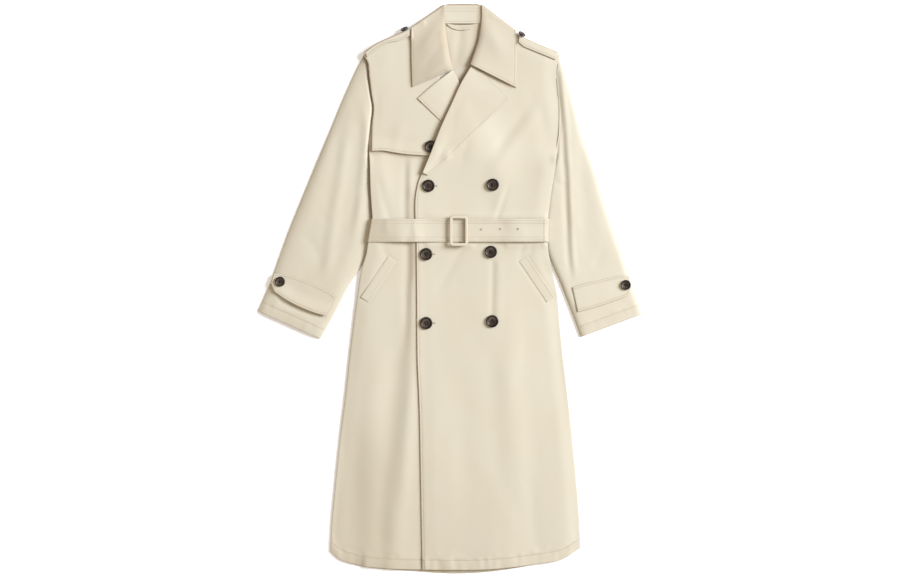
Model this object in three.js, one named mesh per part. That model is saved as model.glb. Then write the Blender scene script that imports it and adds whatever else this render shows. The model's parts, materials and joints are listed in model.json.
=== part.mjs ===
import * as THREE from "three";

// Double-breasted trench coat laid flat on its back with the front up. Millimetres: +Z up, +Y towards
// the collar, the wearer's right side at -X. Sizes are those of a long coat, hem to collar about 1230.

// Cloth and clearances
const PANEL_T = 1.3; // one layer of coat cloth
const DOUBLE_T = 2.2; // collar, lapels, flap, belt and straps: two layers sewn together
const LAY_GAP = 0.45; // air between layers that lie on each other
const SEAM_GAP = 0.4; // gap in plan where two pieces are sewn edge to edge
const TUCK_GAP = 0.8; // gap in plan between a cloth edge and the strap that is folded round it
const HOLLOW = 3.6; // most air inside a sleeve, or between front and back

// Main levels
const UNDERARM_Y = 306;
const SHOULDER_Y = 503;
const HEM_Y = -560; // height of the hem at the side seams

// Buttons: diameter and height
const FRONT_BUTTON = { diameter: 26.7, height: 3.8 };
const CUFF_BUTTON = { diameter: 21.5, height: 3.8 };
const SHOULDER_BUTTON = { diameter: 17, height: 3.4 };

// Sizes of the belt, its buckle and the eyelets in its end
const BELT = { width: 49.5, middleY: 125, tipX: 205, anchorX: 30 };
const BUCKLE = { x: 18, y: 124, width: 40, height: 66, side: 7.5, corner: 8, thick: 4.6 };

// Body outline: x of the side edges at each height, armholes above the underarm
const BODY = [
  { y: 503, left: -188, right: 235 },
  { y: 490, left: -180, right: 232 },
  { y: 455, left: -175, right: 227.5 },
  { y: 417, left: -170, right: 233 },
  { y: 391, left: -166, right: 236.5 },
  { y: 354, left: -170, right: 237 },
  { y: 306, left: -175, right: 230.7 },
  { y: 260, left: -173, right: 225.6 },
  { y: 215, left: -172, right: 218 },
  { y: 175, left: -169.5, right: 212.5 },
  { y: 154, left: -168, right: 210 },
  { y: 125, left: -172.5, right: 208.8 },
  { y: 98, left: -177, right: 209 },
  { y: 74, left: -181, right: 211.7 },
  { y: 49, left: -189, right: 216.5 },
  { y: 26, left: -194, right: 221.5 },
  { y: -7, left: -199, right: 229 },
  { y: -63, left: -207, right: 234 },
  { y: -136, left: -216, right: 241 },
  { y: -220, left: -225, right: 251 },
  { y: -328, left: -238, right: 263 },
  { y: -426, left: -248, right: 272 },
  { y: -519, left: -256, right: 278.5 },
  { y: -560, left: -258, right: 280 },
];

// Heights of the mesh rows of the panels: close together along the armholes, wider below
const ARMHOLE_ROWS = [503, 497, 484, 466, 446, 426, 406, 386, 366, 346, 328, 314, 306];
const SKIRT_ROWS = [
  290, 262, 225, 188, 154, 125, 98, 60, 20, -30, -85, -145, -210, -280, -350, -420, -485, -530, -560,
];
const ROWS = [...ARMHOLE_ROWS, ...SKIRT_ROWS];

// Shoulder seams, and the neckline between them, as heights over x
const SHOULDERS = [
  { x: -188, y: 501 },
  { x: -166, y: 518 },
  { x: -136, y: 533 },
  { x: -108, y: 545 },
  { x: -87, y: 556 },
  { x: -32, y: 585 },
  { x: 90, y: 583 },
  { x: 145, y: 546 },
  { x: 171, y: 530 },
  { x: 203, y: 516 },
  { x: 236, y: 502 },
];
const NECKLINE = [
  { x: -32, y: 585 },
  { x: -10, y: 573 },
  { x: 64, y: 573 },
  { x: 90, y: 583 },
];

// Hem curves of the fronts and of the back
const FRONT_HEM = [
  { x: -258, y: -566 },
  { x: -242, y: -580 },
  { x: -203, y: -594 },
  { x: -127, y: -603 },
  { x: -63, y: -605 },
  { x: 96, y: -603 },
  { x: 176, y: -594 },
  { x: 246, y: -580 },
  { x: 280, y: -558 },
];
const BACK_HEM = [
  { x: -258, y: -566 },
  { x: -242, y: -580 },
  { x: -203, y: -595 },
  { x: -127, y: -605 },
  { x: -63, y: -609 },
  { x: 16, y: -613 },
  { x: 96, y: -608 },
  { x: 176, y: -595 },
  { x: 246, y: -580 },
  { x: 280, y: -558 },
];

// Free edge of the overlapping front: roll line of the lapel, then the front edge to the hem
const UPPER_EDGE = [
  { y: 590, x: 91 },
  { y: 540, x: 78 },
  { y: 500, x: 58 },
  { y: 472, x: 40 },
  { y: 443, x: 23 },
  { y: 406, x: 6 },
  { y: 358, x: -16 },
  { y: 321, x: -31 },
  { y: 284, x: -45 },
  { y: 250, x: -60 },
  { y: 232, x: -68 },
  { y: 213, x: -72.5 },
  { y: 98, x: -73 },
  { y: -24, x: -72 },
  { y: -153, x: -71 },
  { y: -248, x: -67 },
  { y: -407, x: -64 },
  { y: -620, x: -60.5 },
];
// Free edge of the front that lies beneath it
const UNDER_EDGE = [
  { y: 590, x: -33 },
  { y: 540, x: -19 },
  { y: 500, x: -6 },
  { y: 472, x: 6 },
  { y: 443, x: 21 },
  { y: 300, x: 86 },
  { y: 223, x: 121 },
  { y: 190, x: 129 },
  { y: -620, x: 124 },
];

// Sleeves: ends of each section across the sleeve, from the armhole to the cuff, and its height
const LEFT_SLEEVE = [
  { outX: -188, outY: 503, inX: -175, inY: 306, height: 6.0 },
  { outX: -207, outY: 462, inX: -161, inY: 274, height: 6.4 },
  { outX: -232, outY: 406, inX: -146, inY: 238, height: 6.6 },
  { outX: -262, outY: 333, inX: -143, inY: 196, height: 6.6 },
  { outX: -291, outY: 264, inX: -150, inY: 150, height: 6.6 },
  { outX: -318, outY: 198, inX: -167, inY: 97, height: 6.6 },
  { outX: -345, outY: 132, inX: -192, inY: 46, height: 6.5 },
  { outX: -367, outY: 72, inX: -216, inY: 10, height: 6.3 },
  { outX: -390, outY: 8, inX: -244, inY: -44, height: 6.2 },
  { outX: -414.5, outY: -48, inX: -280, inY: -108, height: 6.0 },
];
const RIGHT_SLEEVE = [
  { outX: 235, outY: 503, inX: 230.7, inY: 306, height: 6.0 },
  { outX: 251, outY: 458, inX: 216, inY: 276, height: 6.4 },
  { outX: 267, outY: 398, inX: 204, inY: 242, height: 6.6 },
  { outX: 288, outY: 322, inX: 195, inY: 200, height: 6.6 },
  { outX: 310, outY: 262, inX: 194, inY: 152, height: 6.6 },
  { outX: 330, outY: 196, inX: 202, inY: 100, height: 6.6 },
  { outX: 351, outY: 131, inX: 219, inY: 52, height: 6.5 },
  { outX: 371, outY: 72, inX: 237, inY: 10, height: 6.3 },
  { outX: 392, outY: 8, inX: 257, inY: -42, height: 6.2 },
  { outX: 414.5, outY: -54, inX: 280, inY: -104, height: 6.0 },
];
const SLEEVE_EDGE = { height: 3.3, width: 26 }; // rounded long edges
const SLEEVE_STEPS = 14; // sections meshed along a sleeve
const TUCK_Y = 262; // below this the sleeve passes under the body
const PRESSED_HEIGHT = 4.2; // of the sleeve where the body lies on it

// Largest folds: a path in plan, half width and height, positive for a ridge and negative for a trough
const UNDER_FOLDS = [
  { path: [-76, 280, -78, 154], width: 13, height: 2.2 },
  { path: [-76, 92, -79, -89, -90, -175, -103, -325, -110, -500], width: 15, height: 2.6 },
  { path: [-100, 60, -103, -89, -122, -325], width: 14, height: -1.0 },
  { path: [-157, 266, -149, 212, -132, 158], width: 9, height: -1.2 },
];
const UPPER_FOLDS = [
  { path: [92, 57, 89, -50, 88, -140, 105, -454], width: 16, height: -1.3 },
  { path: [110, 57, 112, -50, 118, -200, 140, -454], width: 22, height: 1.5 },
  { path: [100, 154, 118, 197, 131, 234], width: 10, height: 1.4 },
  { path: [77, 266, 107, 307, 137, 350, 184, 410], width: 15, height: -1.2 },
  { path: [92, 250, 124, 296, 154, 338, 200, 396], width: 14, height: 1.4 },
  { path: [27, 90, -37, -24], width: 14, height: -0.9 },
];
const SLEEVE_FOLDS = [
  { path: [-229, 322, -239, 247, -252, 173, -265, 83, -276, 10], width: 13, height: 2.4 },
  { path: [-186, 397, -185, 322, -196, 225, -207, 141, -224, 62, -245, 1], width: 11, height: 2.2 },
  { path: [-210, 330, -216, 240, -232, 150, -246, 70], width: 12, height: -1.4 },
  { path: [255, 300, 260, 209, 262, 150, 268, 94, 276, 8], width: 11, height: 2.4 },
  { path: [290, 260, 300, 180, 318, 90], width: 16, height: 1.2 },
  { path: [272, 300, 278, 209, 286, 110], width: 12, height: -1.2 },
];

// Storm flap on the wearer's right: lower edge over x
const FLAP_LOW = [
  { x: -170, y: 296 },
  { x: -142, y: 296 },
  { x: -127, y: 293.5 },
  { x: -101, y: 289.5 },
  { x: -53, y: 286 },
  { x: 10, y: 284 },
];
const FLAP_ROWS = [497, 470, 430, 390, 350, 322, 300];
const FLAP_INNER = [
  { y: 590, x: -60 },
  { y: 500, x: -34 },
  { y: 430, x: -18 },
  { y: 284, x: -8 },
];

// Lapels, section by section from the gorge down: roll edge, then outer edge
const UNDER_LAPEL = [
  { inX: 6.5, inY: 470, outX: 0, outY: 467 },
  { inX: 13, inY: 457, outX: -38, outY: 438 },
  { inX: 21, inY: 441, outX: -71, outY: 409 },
  { inX: 45, inY: 390, outX: -17, outY: 357 },
  { inX: 70, inY: 335, outX: 32, outY: 310 },
  { inX: 96, inY: 278, outX: 80, outY: 265 },
  { inX: 118, inY: 230, outX: 114, outY: 228 },
];
const UPPER_LAPEL = [
  { inX: 43, inY: 476, outX: 66, outY: 468 },
  { inX: 34, inY: 461, outX: 96, outY: 440 },
  { inX: 23, inY: 442, outX: 128, outY: 410 },
  { inX: 2, inY: 396, outX: 86, outY: 368 },
  { inX: -20, inY: 348, outX: 42, outY: 325 },
  { inX: -42, inY: 292, outX: -4, outY: 280 },
  { inX: -60, inY: 249, outX: -48, outY: 243 },
];

// Collar, section by section from the wearer's right tip round the back to the left tip
const COLLAR_RIGHT_LEAF = [
  { inX: 6, inY: 472, outX: -82, outY: 433 },
  { inX: -1, inY: 500, outX: -83, outY: 462 },
  { inX: -6, inY: 530, outX: -84, outY: 496 },
  { inX: -10, inY: 560, outX: -84, outY: 526 },
  { inX: -13, inY: 588, outX: -84, outY: 549 },
];
const COLLAR_RIGHT_TURN = { inX: -15, inY: 612, outX: -84, outY: 563 };
const COLLAR_BACK = [
  { inX: -8, inY: 612, outX: -74, outY: 550 },
  { inX: 8, inY: 613, outX: -30, outY: 529 },
  { inX: 28, inY: 613.5, outX: 28, outY: 523 },
  { inX: 48, inY: 613, outX: 86, outY: 529 },
  { inX: 62, inY: 612, outX: 133, outY: 545 },
];
const COLLAR_LEFT_TURN = { inX: 69, inY: 612, outX: 143, outY: 555 };
const COLLAR_LEFT_LEAF = [
  { inX: 67.5, inY: 588, outX: 143, outY: 543 },
  { inX: 64, inY: 560, outX: 143, outY: 518 },
  { inX: 58.5, inY: 530, outX: 143, outY: 488 },
  { inX: 50, inY: 504, outX: 142.5, outY: 458 },
  { inX: 42.5, inY: 482, outX: 142, outY: 432 },
];

// Shoulder straps: lower edge in front and fold over the shoulder, from the sleeve to the neck
const RIGHT_STRAP = [
  { frontX: -179, frontY: 497, foldX: -184, foldY: 507 },
  { frontX: -163, frontY: 511, foldX: -166, foldY: 520.5 },
  { frontX: -136, frontY: 527, foldX: -136, foldY: 536 },
  { frontX: -110, frontY: 533, foldX: -108, foldY: 548 },
  { frontX: -86, frontY: 544, foldX: -88, foldY: 558 },
];
const LEFT_STRAP = [
  { frontX: 226, frontY: 492, foldX: 231, foldY: 506.5 },
  { frontX: 199, frontY: 503, foldX: 203, foldY: 518.5 },
  { frontX: 172, frontY: 514, foldX: 171, foldY: 532.5 },
  { frontX: 158, frontY: 520, foldX: 158, foldY: 539 },
  { frontX: 146, frontY: 530, foldX: 148, foldY: 547 },
];
const STRAP_BACK_WIDTH = 20;

// Cuff straps: upper and lower edge, from the sleeve's inner seam to the point
const RIGHT_CUFF_STRAP = [
  { upX: -246, upY: -18, lowX: -268, lowY: -58 },
  { upX: -264, upY: -5, lowX: -288, lowY: -53 },
  { upX: -290, upY: 7, lowX: -312, lowY: -44 },
  { upX: -325, upY: 21, lowX: -346, lowY: -28 },
  { upX: -358, upY: 31, lowX: -378, lowY: -7 },
  { upX: -379, upY: 33, lowX: -386, lowY: 12 },
];
const LEFT_CUFF_STRAP = [
  { upX: 262, upY: 3, lowX: 274, lowY: -50 },
  { upX: 285, upY: 10, lowX: 294, lowY: -45 },
  { upX: 315, upY: 17, lowX: 322, lowY: -37 },
  { upX: 345, upY: 24, lowX: 354, lowY: -26 },
  { upX: 368, upY: 29, lowX: 381, lowY: -16 },
  { upX: 384, upY: 27, lowX: 390, lowY: 6 },
];

// Slanted pocket welts on both fronts: middle, half length, half width and tilt in degrees
const POCKETS = [
  { name: "pocket_welt_right", x: -155, y: 20, halfLength: 53, halfWidth: 10, tilt: 34 },
  { name: "pocket_welt_left", x: 186, y: 20, halfLength: 53, halfWidth: 10, tilt: -34 },
];

// Buttons that lie on the cloth
const BUTTONS = [
  { name: "button_flap", x: -42, y: 305, size: FRONT_BUTTON },
  { name: "button_front_1", x: -47, y: 221, size: FRONT_BUTTON },
  { name: "button_front_2", x: 91, y: 223, size: FRONT_BUTTON },
  { name: "button_front_3", x: -52, y: 74, size: FRONT_BUTTON },
  { name: "button_front_4", x: 87, y: 79, size: FRONT_BUTTON },
  { name: "button_front_5", x: -52, y: -74, size: FRONT_BUTTON },
  { name: "button_front_6", x: 90, y: -70, size: FRONT_BUTTON },
  { name: "button_cuff_right", x: -366, y: 15, size: CUFF_BUTTON },
  { name: "button_cuff_left", x: 377, y: 8, size: CUFF_BUTTON },
];
// Buttons of the shoulder straps stand on the fold: middle and outward direction in plan
const SHOULDER_BUTTONS = [
  { name: "button_shoulder_right", x: -98.2, y: 556.6, dirX: -0.45, dirY: 0.89 },
  { name: "button_shoulder_left", x: 153, y: 546, dirX: 0.55, dirY: 0.83 },
];
const SHOULDER_BUTTON_Z = 9.2;
const SHOULDER_BUTTON_RISE = 28; // degrees that its face leans up from level

// Colours of the finishes
const CLOTH = { color: 0xe5dbc8, roughness: 0.85, metalness: 0 };
const HORN = { color: 0x2b221e, roughness: 0.3, metalness: 0 };

const group = new THREE.Group();

function lerp(a, b, t) {
  return a + (b - a) * t;
}

function smooth(t) {
  const c = Math.min(1, Math.max(0, t));
  return c * c * (3 - 2 * c);
}

// Value of a table column at a key, straight between rows
function along(table, key, value, at) {
  const rising = table[table.length - 1][key] > table[0][key];
  const rows = rising ? table : [...table].reverse();
  if (at <= rows[0][key]) return rows[0][value];
  for (let i = 1; i < rows.length; i++) {
    if (at > rows[i][key]) continue;
    const t = (at - rows[i - 1][key]) / (rows[i][key] - rows[i - 1][key]);
    return lerp(rows[i - 1][value], rows[i][value], t);
  }
  return rows[rows.length - 1][value];
}

// Smooth curve through table rows, all columns together, at a share of the table's length
function curve(table, share) {
  const last = table.length - 1;
  const place = Math.min(last - 1e-9, Math.max(0, share * last));
  const i = Math.floor(place);
  const t = place - i;
  const row = {};
  for (const key of Object.keys(table[0])) {
    const p = [i - 1, i, i + 1, i + 2].map((k) => table[Math.min(last, Math.max(0, k))][key]);
    const slopeIn = (p[2] - p[0]) / 2;
    const slopeOut = (p[3] - p[1]) / 2;
    const square = t * t;
    const cube = square * t;
    row[key] =
      (2 * cube - 3 * square + 1) * p[1] +
      (cube - 2 * square + t) * slopeIn +
      (3 * square - 2 * cube) * p[2] +
      (cube - square) * slopeOut;
  }
  return row;
}

// Height that the folds of a table add at a place
function foldHeight(folds, x, y) {
  let sum = 0;
  for (const { path, width, height } of folds) {
    let nearest = Infinity;
    for (let i = 0; i + 3 < path.length; i += 2) {
      const [ax, ay, bx, by] = path.slice(i, i + 4);
      const length = (bx - ax) ** 2 + (by - ay) ** 2;
      const t = Math.min(1, Math.max(0, ((x - ax) * (bx - ax) + (y - ay) * (by - ay)) / length));
      nearest = Math.min(nearest, Math.hypot(x - lerp(ax, bx, t), y - lerp(ay, by, t)));
    }
    sum += height * Math.exp(-((nearest / width) ** 2));
  }
  return sum;
}

// Height of everything laid so far, kept on square cells. A cell holds the highest point within it.
class Pile {
  constructor(cell, halfWidth, halfLength) {
    this.cell = cell;
    this.minX = -halfWidth;
    this.minY = -halfLength;
    this.columns = Math.ceil((2 * halfWidth) / cell);
    this.rows = Math.ceil((2 * halfLength) / cell);
    this.top = new Float64Array(this.columns * this.rows);
  }

  at(x, y) {
    const i = Math.floor((x - this.minX) / this.cell);
    const j = Math.floor((y - this.minY) / this.cell);
    return this.top[j * this.columns + i];
  }

  near(x, y, reach) {
    let highest = 0;
    for (let dx = -reach; dx <= reach; dx += this.cell)
      for (let dy = -reach; dy <= reach; dy += this.cell)
        if (dx * dx + dy * dy <= reach * reach)
          highest = Math.max(highest, this.at(x + dx, y + dy));
    return highest;
  }

  // Lays one triangle of a top surface: where(x, y) can leave cells out
  stampTriangle(a, b, c, where) {
    const area = (b[0] - a[0]) * (c[1] - a[1]) - (c[0] - a[0]) * (b[1] - a[1]);
    if (Math.abs(area) < 1e-6) return;
    const highest = Math.max(a[2], b[2], c[2]);
    const lowest = Math.min(a[2], b[2], c[2]);
    const slopeX = ((b[2] - a[2]) * (c[1] - a[1]) - (c[2] - a[2]) * (b[1] - a[1])) / area;
    const slopeY = ((c[2] - a[2]) * (b[0] - a[0]) - (b[2] - a[2]) * (c[0] - a[0])) / area;
    const margin = ((Math.abs(slopeX) + Math.abs(slopeY)) * this.cell) / 2;
    const edges = [
      [a, b],
      [b, c],
      [c, a],
    ].map(([p, q]) => {
      const length = Math.hypot(q[0] - p[0], q[1] - p[1]) * Math.sign(area);
      return { p, nx: -(q[1] - p[1]) / length, ny: (q[0] - p[0]) / length };
    });
    const firstX = Math.floor((Math.min(a[0], b[0], c[0]) - this.minX) / this.cell);
    const lastX = Math.floor((Math.max(a[0], b[0], c[0]) - this.minX) / this.cell);
    const firstY = Math.floor((Math.min(a[1], b[1], c[1]) - this.minY) / this.cell);
    const lastY = Math.floor((Math.max(a[1], b[1], c[1]) - this.minY) / this.cell);
    for (let j = firstY; j <= lastY; j++)
      for (let i = firstX; i <= lastX; i++) {
        const x = this.minX + (i + 0.5) * this.cell;
        const y = this.minY + (j + 0.5) * this.cell;
        if (where && !where(x, y)) continue;
        const reach = 0.72 * this.cell;
        if (edges.some(({ p, nx, ny }) => (x - p[0]) * nx + (y - p[1]) * ny < -reach)) continue;
        const z = a[2] + slopeX * (x - a[0]) + slopeY * (y - a[1]) + margin;
        const k = j * this.columns + i;
        this.top[k] = Math.max(this.top[k], Math.max(lowest, Math.min(highest, z)));
      }
  }

  stamp(grid, where) {
    for (let i = 0; i + 1 < grid.length; i++)
      for (let j = 0; j + 1 < grid[i].length; j++) {
        this.stampTriangle(grid[i][j], grid[i][j + 1], grid[i + 1][j + 1], where);
        this.stampTriangle(grid[i][j], grid[i + 1][j + 1], grid[i + 1][j], where);
      }
  }
}

const pile = new Pile(4, 460, 660);

// Lays a plan grid on the pile and returns the heights of its underside.
// lift(x, y, i, j) is the air wanted below it, and slack the rounds of levelling.
function lay(plan, { lift = () => 0, slack = 6, gap = LAY_GAP } = {}) {
  const floor = (x, y) => {
    const top = pile.at(x, y);
    return top > 0 ? top + gap : 0;
  };
  const height = plan.map((row) => row.map(([x, y]) => floor(x, y)));
  const wanted = plan.map((row, i) => row.map(([x, y], j) => lift(x, y, i, j)));
  const still = plan.map((row) => row.map(([x, y]) => pile.near(x, y, 36) === 0));
  const raise = () => {
    let worst = 0;
    for (let i = 0; i + 1 < plan.length; i++)
      for (let j = 0; j + 1 < plan[i].length; j++)
        for (const corners of [
          [[i, j], [i, j + 1], [i + 1, j + 1]],
          [[i, j], [i + 1, j + 1], [i + 1, j]],
        ]) {
          const p = corners.map(([r, c]) => plan[r][c]);
          const longest = Math.max(
            Math.hypot(p[0][0] - p[1][0], p[0][1] - p[1][1]),
            Math.hypot(p[1][0] - p[2][0], p[1][1] - p[2][1]),
            Math.hypot(p[2][0] - p[0][0], p[2][1] - p[0][1]),
          );
          const parts = Math.max(1, Math.ceil(longest / 3.5));
          for (let u = 0; u <= parts; u++)
            for (let v = 0; u + v <= parts; v++) {
              const w = [u / parts, v / parts, (parts - u - v) / parts];
              const x = w[0] * p[0][0] + w[1] * p[1][0] + w[2] * p[2][0];
              const y = w[0] * p[0][1] + w[1] * p[1][1] + w[2] * p[2][1];
              let z = 0;
              corners.forEach(([r, c], k) => (z += w[k] * height[r][c]));
              const short = floor(x, y) - z;
              if (short <= 1e-3) continue;
              worst = Math.max(worst, short);
              const square = w[0] ** 2 + w[1] ** 2 + w[2] ** 2;
              corners.forEach(([r, c], k) => (height[r][c] += (short * w[k]) / square));
            }
        }
    return worst;
  };
  for (let round = 0; round < slack; round++) {
    raise();
    const before = height.map((row) => [...row]);
    for (let i = 0; i < plan.length; i++)
      for (let j = 0; j < plan[i].length; j++) {
        const [x, y] = plan[i][j];
        if (still[i][j]) {
          height[i][j] = 0;
          continue;
        }
        const beside = [
          [i - 1, j],
          [i + 1, j],
          [i, j - 1],
          [i, j + 1],
        ].filter(([r, c]) => before[r] && before[r][c] !== undefined);
        const mean = beside.reduce((sum, [r, c]) => sum + before[r][c], 0) / beside.length;
        const sagged = lerp(before[i][j], mean, 0.5) - 0.12;
        height[i][j] = Math.max(floor(x, y), sagged);
      }
  }
  for (let i = 0; i < plan.length; i++)
    for (let j = 0; j < plan[i].length; j++) height[i][j] += wanted[i][j];
  for (let round = 0; round < 40; round++) if (raise() < 2e-3) break;
  return height;
}

function withHeight(plan, height, extra = () => 0) {
  return plan.map((row, i) =>
    row.map(([x, y], j) => [x, y, height[i][j] + extra(i, j)]),
  );
}

// Named mesh of a closed body, with its faces turned outwards
function meshOf(name, positions, triangles, finish) {
  let volume = 0;
  for (const [a, b, c] of triangles.map((t) => t.map((k) => positions[k])))
    volume +=
      a[0] * (b[1] * c[2] - b[2] * c[1]) +
      a[1] * (b[2] * c[0] - b[0] * c[2]) +
      a[2] * (b[0] * c[1] - b[1] * c[0]);
  if (volume < 0) triangles.forEach((t) => t.reverse());
  const geometry = new THREE.BufferGeometry();
  geometry.setAttribute("position", new THREE.Float32BufferAttribute(positions.flat(), 3));
  geometry.setIndex(triangles.flat());
  const mesh = new THREE.Mesh(geometry, new THREE.MeshStandardMaterial(finish));
  mesh.name = name;
  group.add(mesh);
  return mesh;
}

// Closed body between two grids of the same layout
function sheet(name, outer, inner, finish = CLOTH) {
  const rows = outer.length;
  const columns = outer[0].length;
  const size = rows * columns;
  const at = (i, j) => i * columns + j;
  const triangles = [];
  const quad = (a, b, c, d) => triangles.push([a, b, c], [a, c, d]);
  for (let i = 0; i + 1 < rows; i++)
    for (let j = 0; j + 1 < columns; j++) {
      const [a, b, c, d] = [at(i, j), at(i, j + 1), at(i + 1, j + 1), at(i + 1, j)];
      triangles.push([a, c, b], [a, d, c]);
      triangles.push([a + size, b + size, c + size], [a + size, c + size, d + size]);
    }
  for (let j = 0; j + 1 < columns; j++) {
    const [a, b] = [at(0, j), at(0, j + 1)];
    const [c, d] = [at(rows - 1, j), at(rows - 1, j + 1)];
    quad(a, b, b + size, a + size);
    quad(d, c, c + size, d + size);
  }
  for (let i = 0; i + 1 < rows; i++) {
    const [a, b] = [at(i, 0), at(i + 1, 0)];
    const [c, d] = [at(i, columns - 1), at(i + 1, columns - 1)];
    quad(b, a, a + size, b + size);
    quad(c, d, d + size, c + size);
  }
  return meshOf(name, [...outer.flat(), ...inner.flat()], triangles, finish);
}

// One flat piece of cloth: laid on the pile, given its thickness and added to the pile
function flatPiece(name, plan, thickness, options = {}) {
  const height = lay(plan, options);
  const bottom = withHeight(plan, height);
  const top = withHeight(plan, height, (i, j) => thickness + (options.swell ? options.swell(i, j) : 0));
  pile.stamp(top);
  sheet(name, top, bottom);
}

// ---- plan of the body ----

function bodyEdge(side, y) {
  return along(BODY, "y", side, y);
}

// Moves a row's points up to the shoulders and down to the hem
function rowHeight(x, y, topLine, hemLine) {
  const up = smooth((y - 380) / (SHOULDER_Y - 380)) * (along(topLine, "x", "y", x) - SHOULDER_Y);
  const down = smooth((-440 - y) / (-440 - HEM_Y)) * (along(hemLine, "x", "y", x) - HEM_Y);
  return y + up + down;
}

// Plan grid of a body panel between two edges given as x over height
function panelPlan(rows, shares, leftEdge, rightEdge, topLine, hemLine) {
  const settle = (edge, y) => {
    let x = edge(y);
    for (let n = 0; n < 12; n++) x = edge(rowHeight(x, y, topLine, hemLine));
    return x;
  };
  return rows.map((y) => {
    const left = settle(leftEdge, y);
    const right = settle(rightEdge, y);
    return shares.map((s) => {
      const x = lerp(left, right, s);
      return [x, rowHeight(x, y, topLine, hemLine)];
    });
  });
}

const leftSide = (y) => bodyEdge("left", Math.min(SHOULDER_Y, y));
const rightSide = (y) => bodyEdge("right", Math.min(SHOULDER_Y, y));

// ---- sleeves ----

// Shares across a sleeve that meet the rows of the armhole
const SLEEVE_SHARES = ARMHOLE_ROWS.map((y) => (y - UNDERARM_Y) / (SHOULDER_Y - UNDERARM_Y)).reverse();

function sleeveRings(table, side, sign) {
  const rings = [];
  for (let k = 0; k <= SLEEVE_STEPS; k++) {
    const share = k / SLEEVE_STEPS;
    const row = curve(table, share);
    const bend = 1 - smooth(share * 4.5);
    rings.push(
      SLEEVE_SHARES.map((s, index) => {
        const armY = [...ARMHOLE_ROWS].reverse()[index];
        const chord = lerp(bodyEdge(side, UNDERARM_Y), bodyEdge(side, SHOULDER_Y), s);
        let x = lerp(row.inX, row.outX, s) + bend * (bodyEdge(side, armY) - chord);
        const y = lerp(row.inY, row.outY, s);
        const tucked = Math.max(0, TUCK_Y - y);
        const spread = k === 0 ? [0] : [-26, -13, 0, 13, 26];
        const nearby = spread.map((d) => sign * bodyEdge(side, Math.min(y + d, SHOULDER_Y)));
        const gap = k === 0 ? SEAM_GAP : 3 * SEAM_GAP;
        const limit = sign * (Math.max(...nearby) + gap - tucked);
        x = sign > 0 ? Math.max(x, limit) : Math.min(x, limit);
        const under = sign * (bodyEdge(side, y) - x);
        const pressed = tucked > 0 ? smooth((under + 16) / 18) : 0;
        return { x, y, s, pressed, height: lerp(row.height, PRESSED_HEIGHT, pressed) };
      }),
    );
  }
  return rings;
}

// Tube of cloth that lies flat: outer skin and a lining skin one wall inside it, open at both ends
function sleeve(name, table, side, sign) {
  const rings = sleeveRings(table, side, sign);
  const last = SLEEVE_SHARES.length - 1;
  const skins = { outer: [], inner: [] };
  const tops = [];
  for (const ring of rings) {
    const a = ring[0];
    const b = ring[last];
    const width = Math.hypot(b.x - a.x, b.y - a.y);
    const ux = (b.x - a.x) / width;
    const uy = (b.y - a.y) / width;
    const top = ring.map((p) => {
      const fromEdge = Math.min(p.s, 1 - p.s) * width;
      const round = Math.sin((Math.PI / 2) * Math.min(1, fromEdge / SLEEVE_EDGE.width));
      const base = lerp(SLEEVE_EDGE.height, p.height, round);
      const fold = round * (1 - p.pressed) * foldHeight(SLEEVE_FOLDS, p.x, p.y);
      return Math.max(SLEEVE_EDGE.height, base + fold);
    });
    tops.push(ring.map((p, i) => [p.x, p.y, top[i]]));
    const middle = SLEEVE_EDGE.height / 2;
    const outer = [[a.x, a.y, middle]];
    const inner = [[a.x + ux * 2, a.y + uy * 2, middle]];
    for (let i = 1; i < last; i++) {
      const p = ring[i];
      outer.push([p.x, p.y, top[i]]);
      inner.push([p.x, p.y, Math.min(top[i] - PANEL_T, PANEL_T + HOLLOW)]);
    }
    outer.push([b.x, b.y, middle]);
    inner.push([b.x - ux * 2, b.y - uy * 2, middle]);
    for (let i = last - 1; i > 0; i--) {
      const p = ring[i];
      outer.push([p.x, p.y, 0]);
      inner.push([p.x, p.y, PANEL_T]);
    }
    skins.outer.push(outer);
    skins.inner.push(inner);
  }
  const count = skins.outer[0].length;
  const size = count * rings.length;
  const at = (k, i) => k * count + (i % count);
  const triangles = [];
  const add = (...corners) => triangles.push(corners);
  for (let k = 0; k + 1 < rings.length; k++)
    for (let i = 0; i < count; i++) {
      const [a, b, c, d] = [at(k, i), at(k, i + 1), at(k + 1, i + 1), at(k + 1, i)];
      add(a, c, b);
      add(a, d, c);
      add(a + size, b + size, c + size);
      add(a + size, c + size, d + size);
    }
  for (let i = 0; i < count; i++) {
    const [a, b] = [at(0, i), at(0, i + 1)];
    const [c, d] = [at(rings.length - 1, i), at(rings.length - 1, i + 1)];
    add(a, b, b + size);
    add(a, b + size, a + size);
    add(d, c, c + size);
    add(d, c + size, d + size);
  }
  meshOf(name, [...skins.outer.flat(), ...skins.inner.flat()], triangles, CLOTH);
  pile.stamp(tops, (x, y) => y < TUCK_Y);
}

sleeve("sleeve_right", LEFT_SLEEVE, "left", -1);
sleeve("sleeve_left", RIGHT_SLEEVE, "right", 1);

// ---- strips that pass round an edge: their parts under the body are laid first ----

function crossPlan(table, shares, keys) {
  return table.map((row) =>
    shares.map((s) => [lerp(row[keys[0]], row[keys[2]], s), lerp(row[keys[1]], row[keys[3]], s)]),
  );
}

const ACROSS = ["inX", "inY", "outX", "outY"];

// Belt
const BELT_SHARES = [0, 0.5, 1];
const beltY = (share) => BELT.middleY + BELT.width * (0.5 - share);
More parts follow.
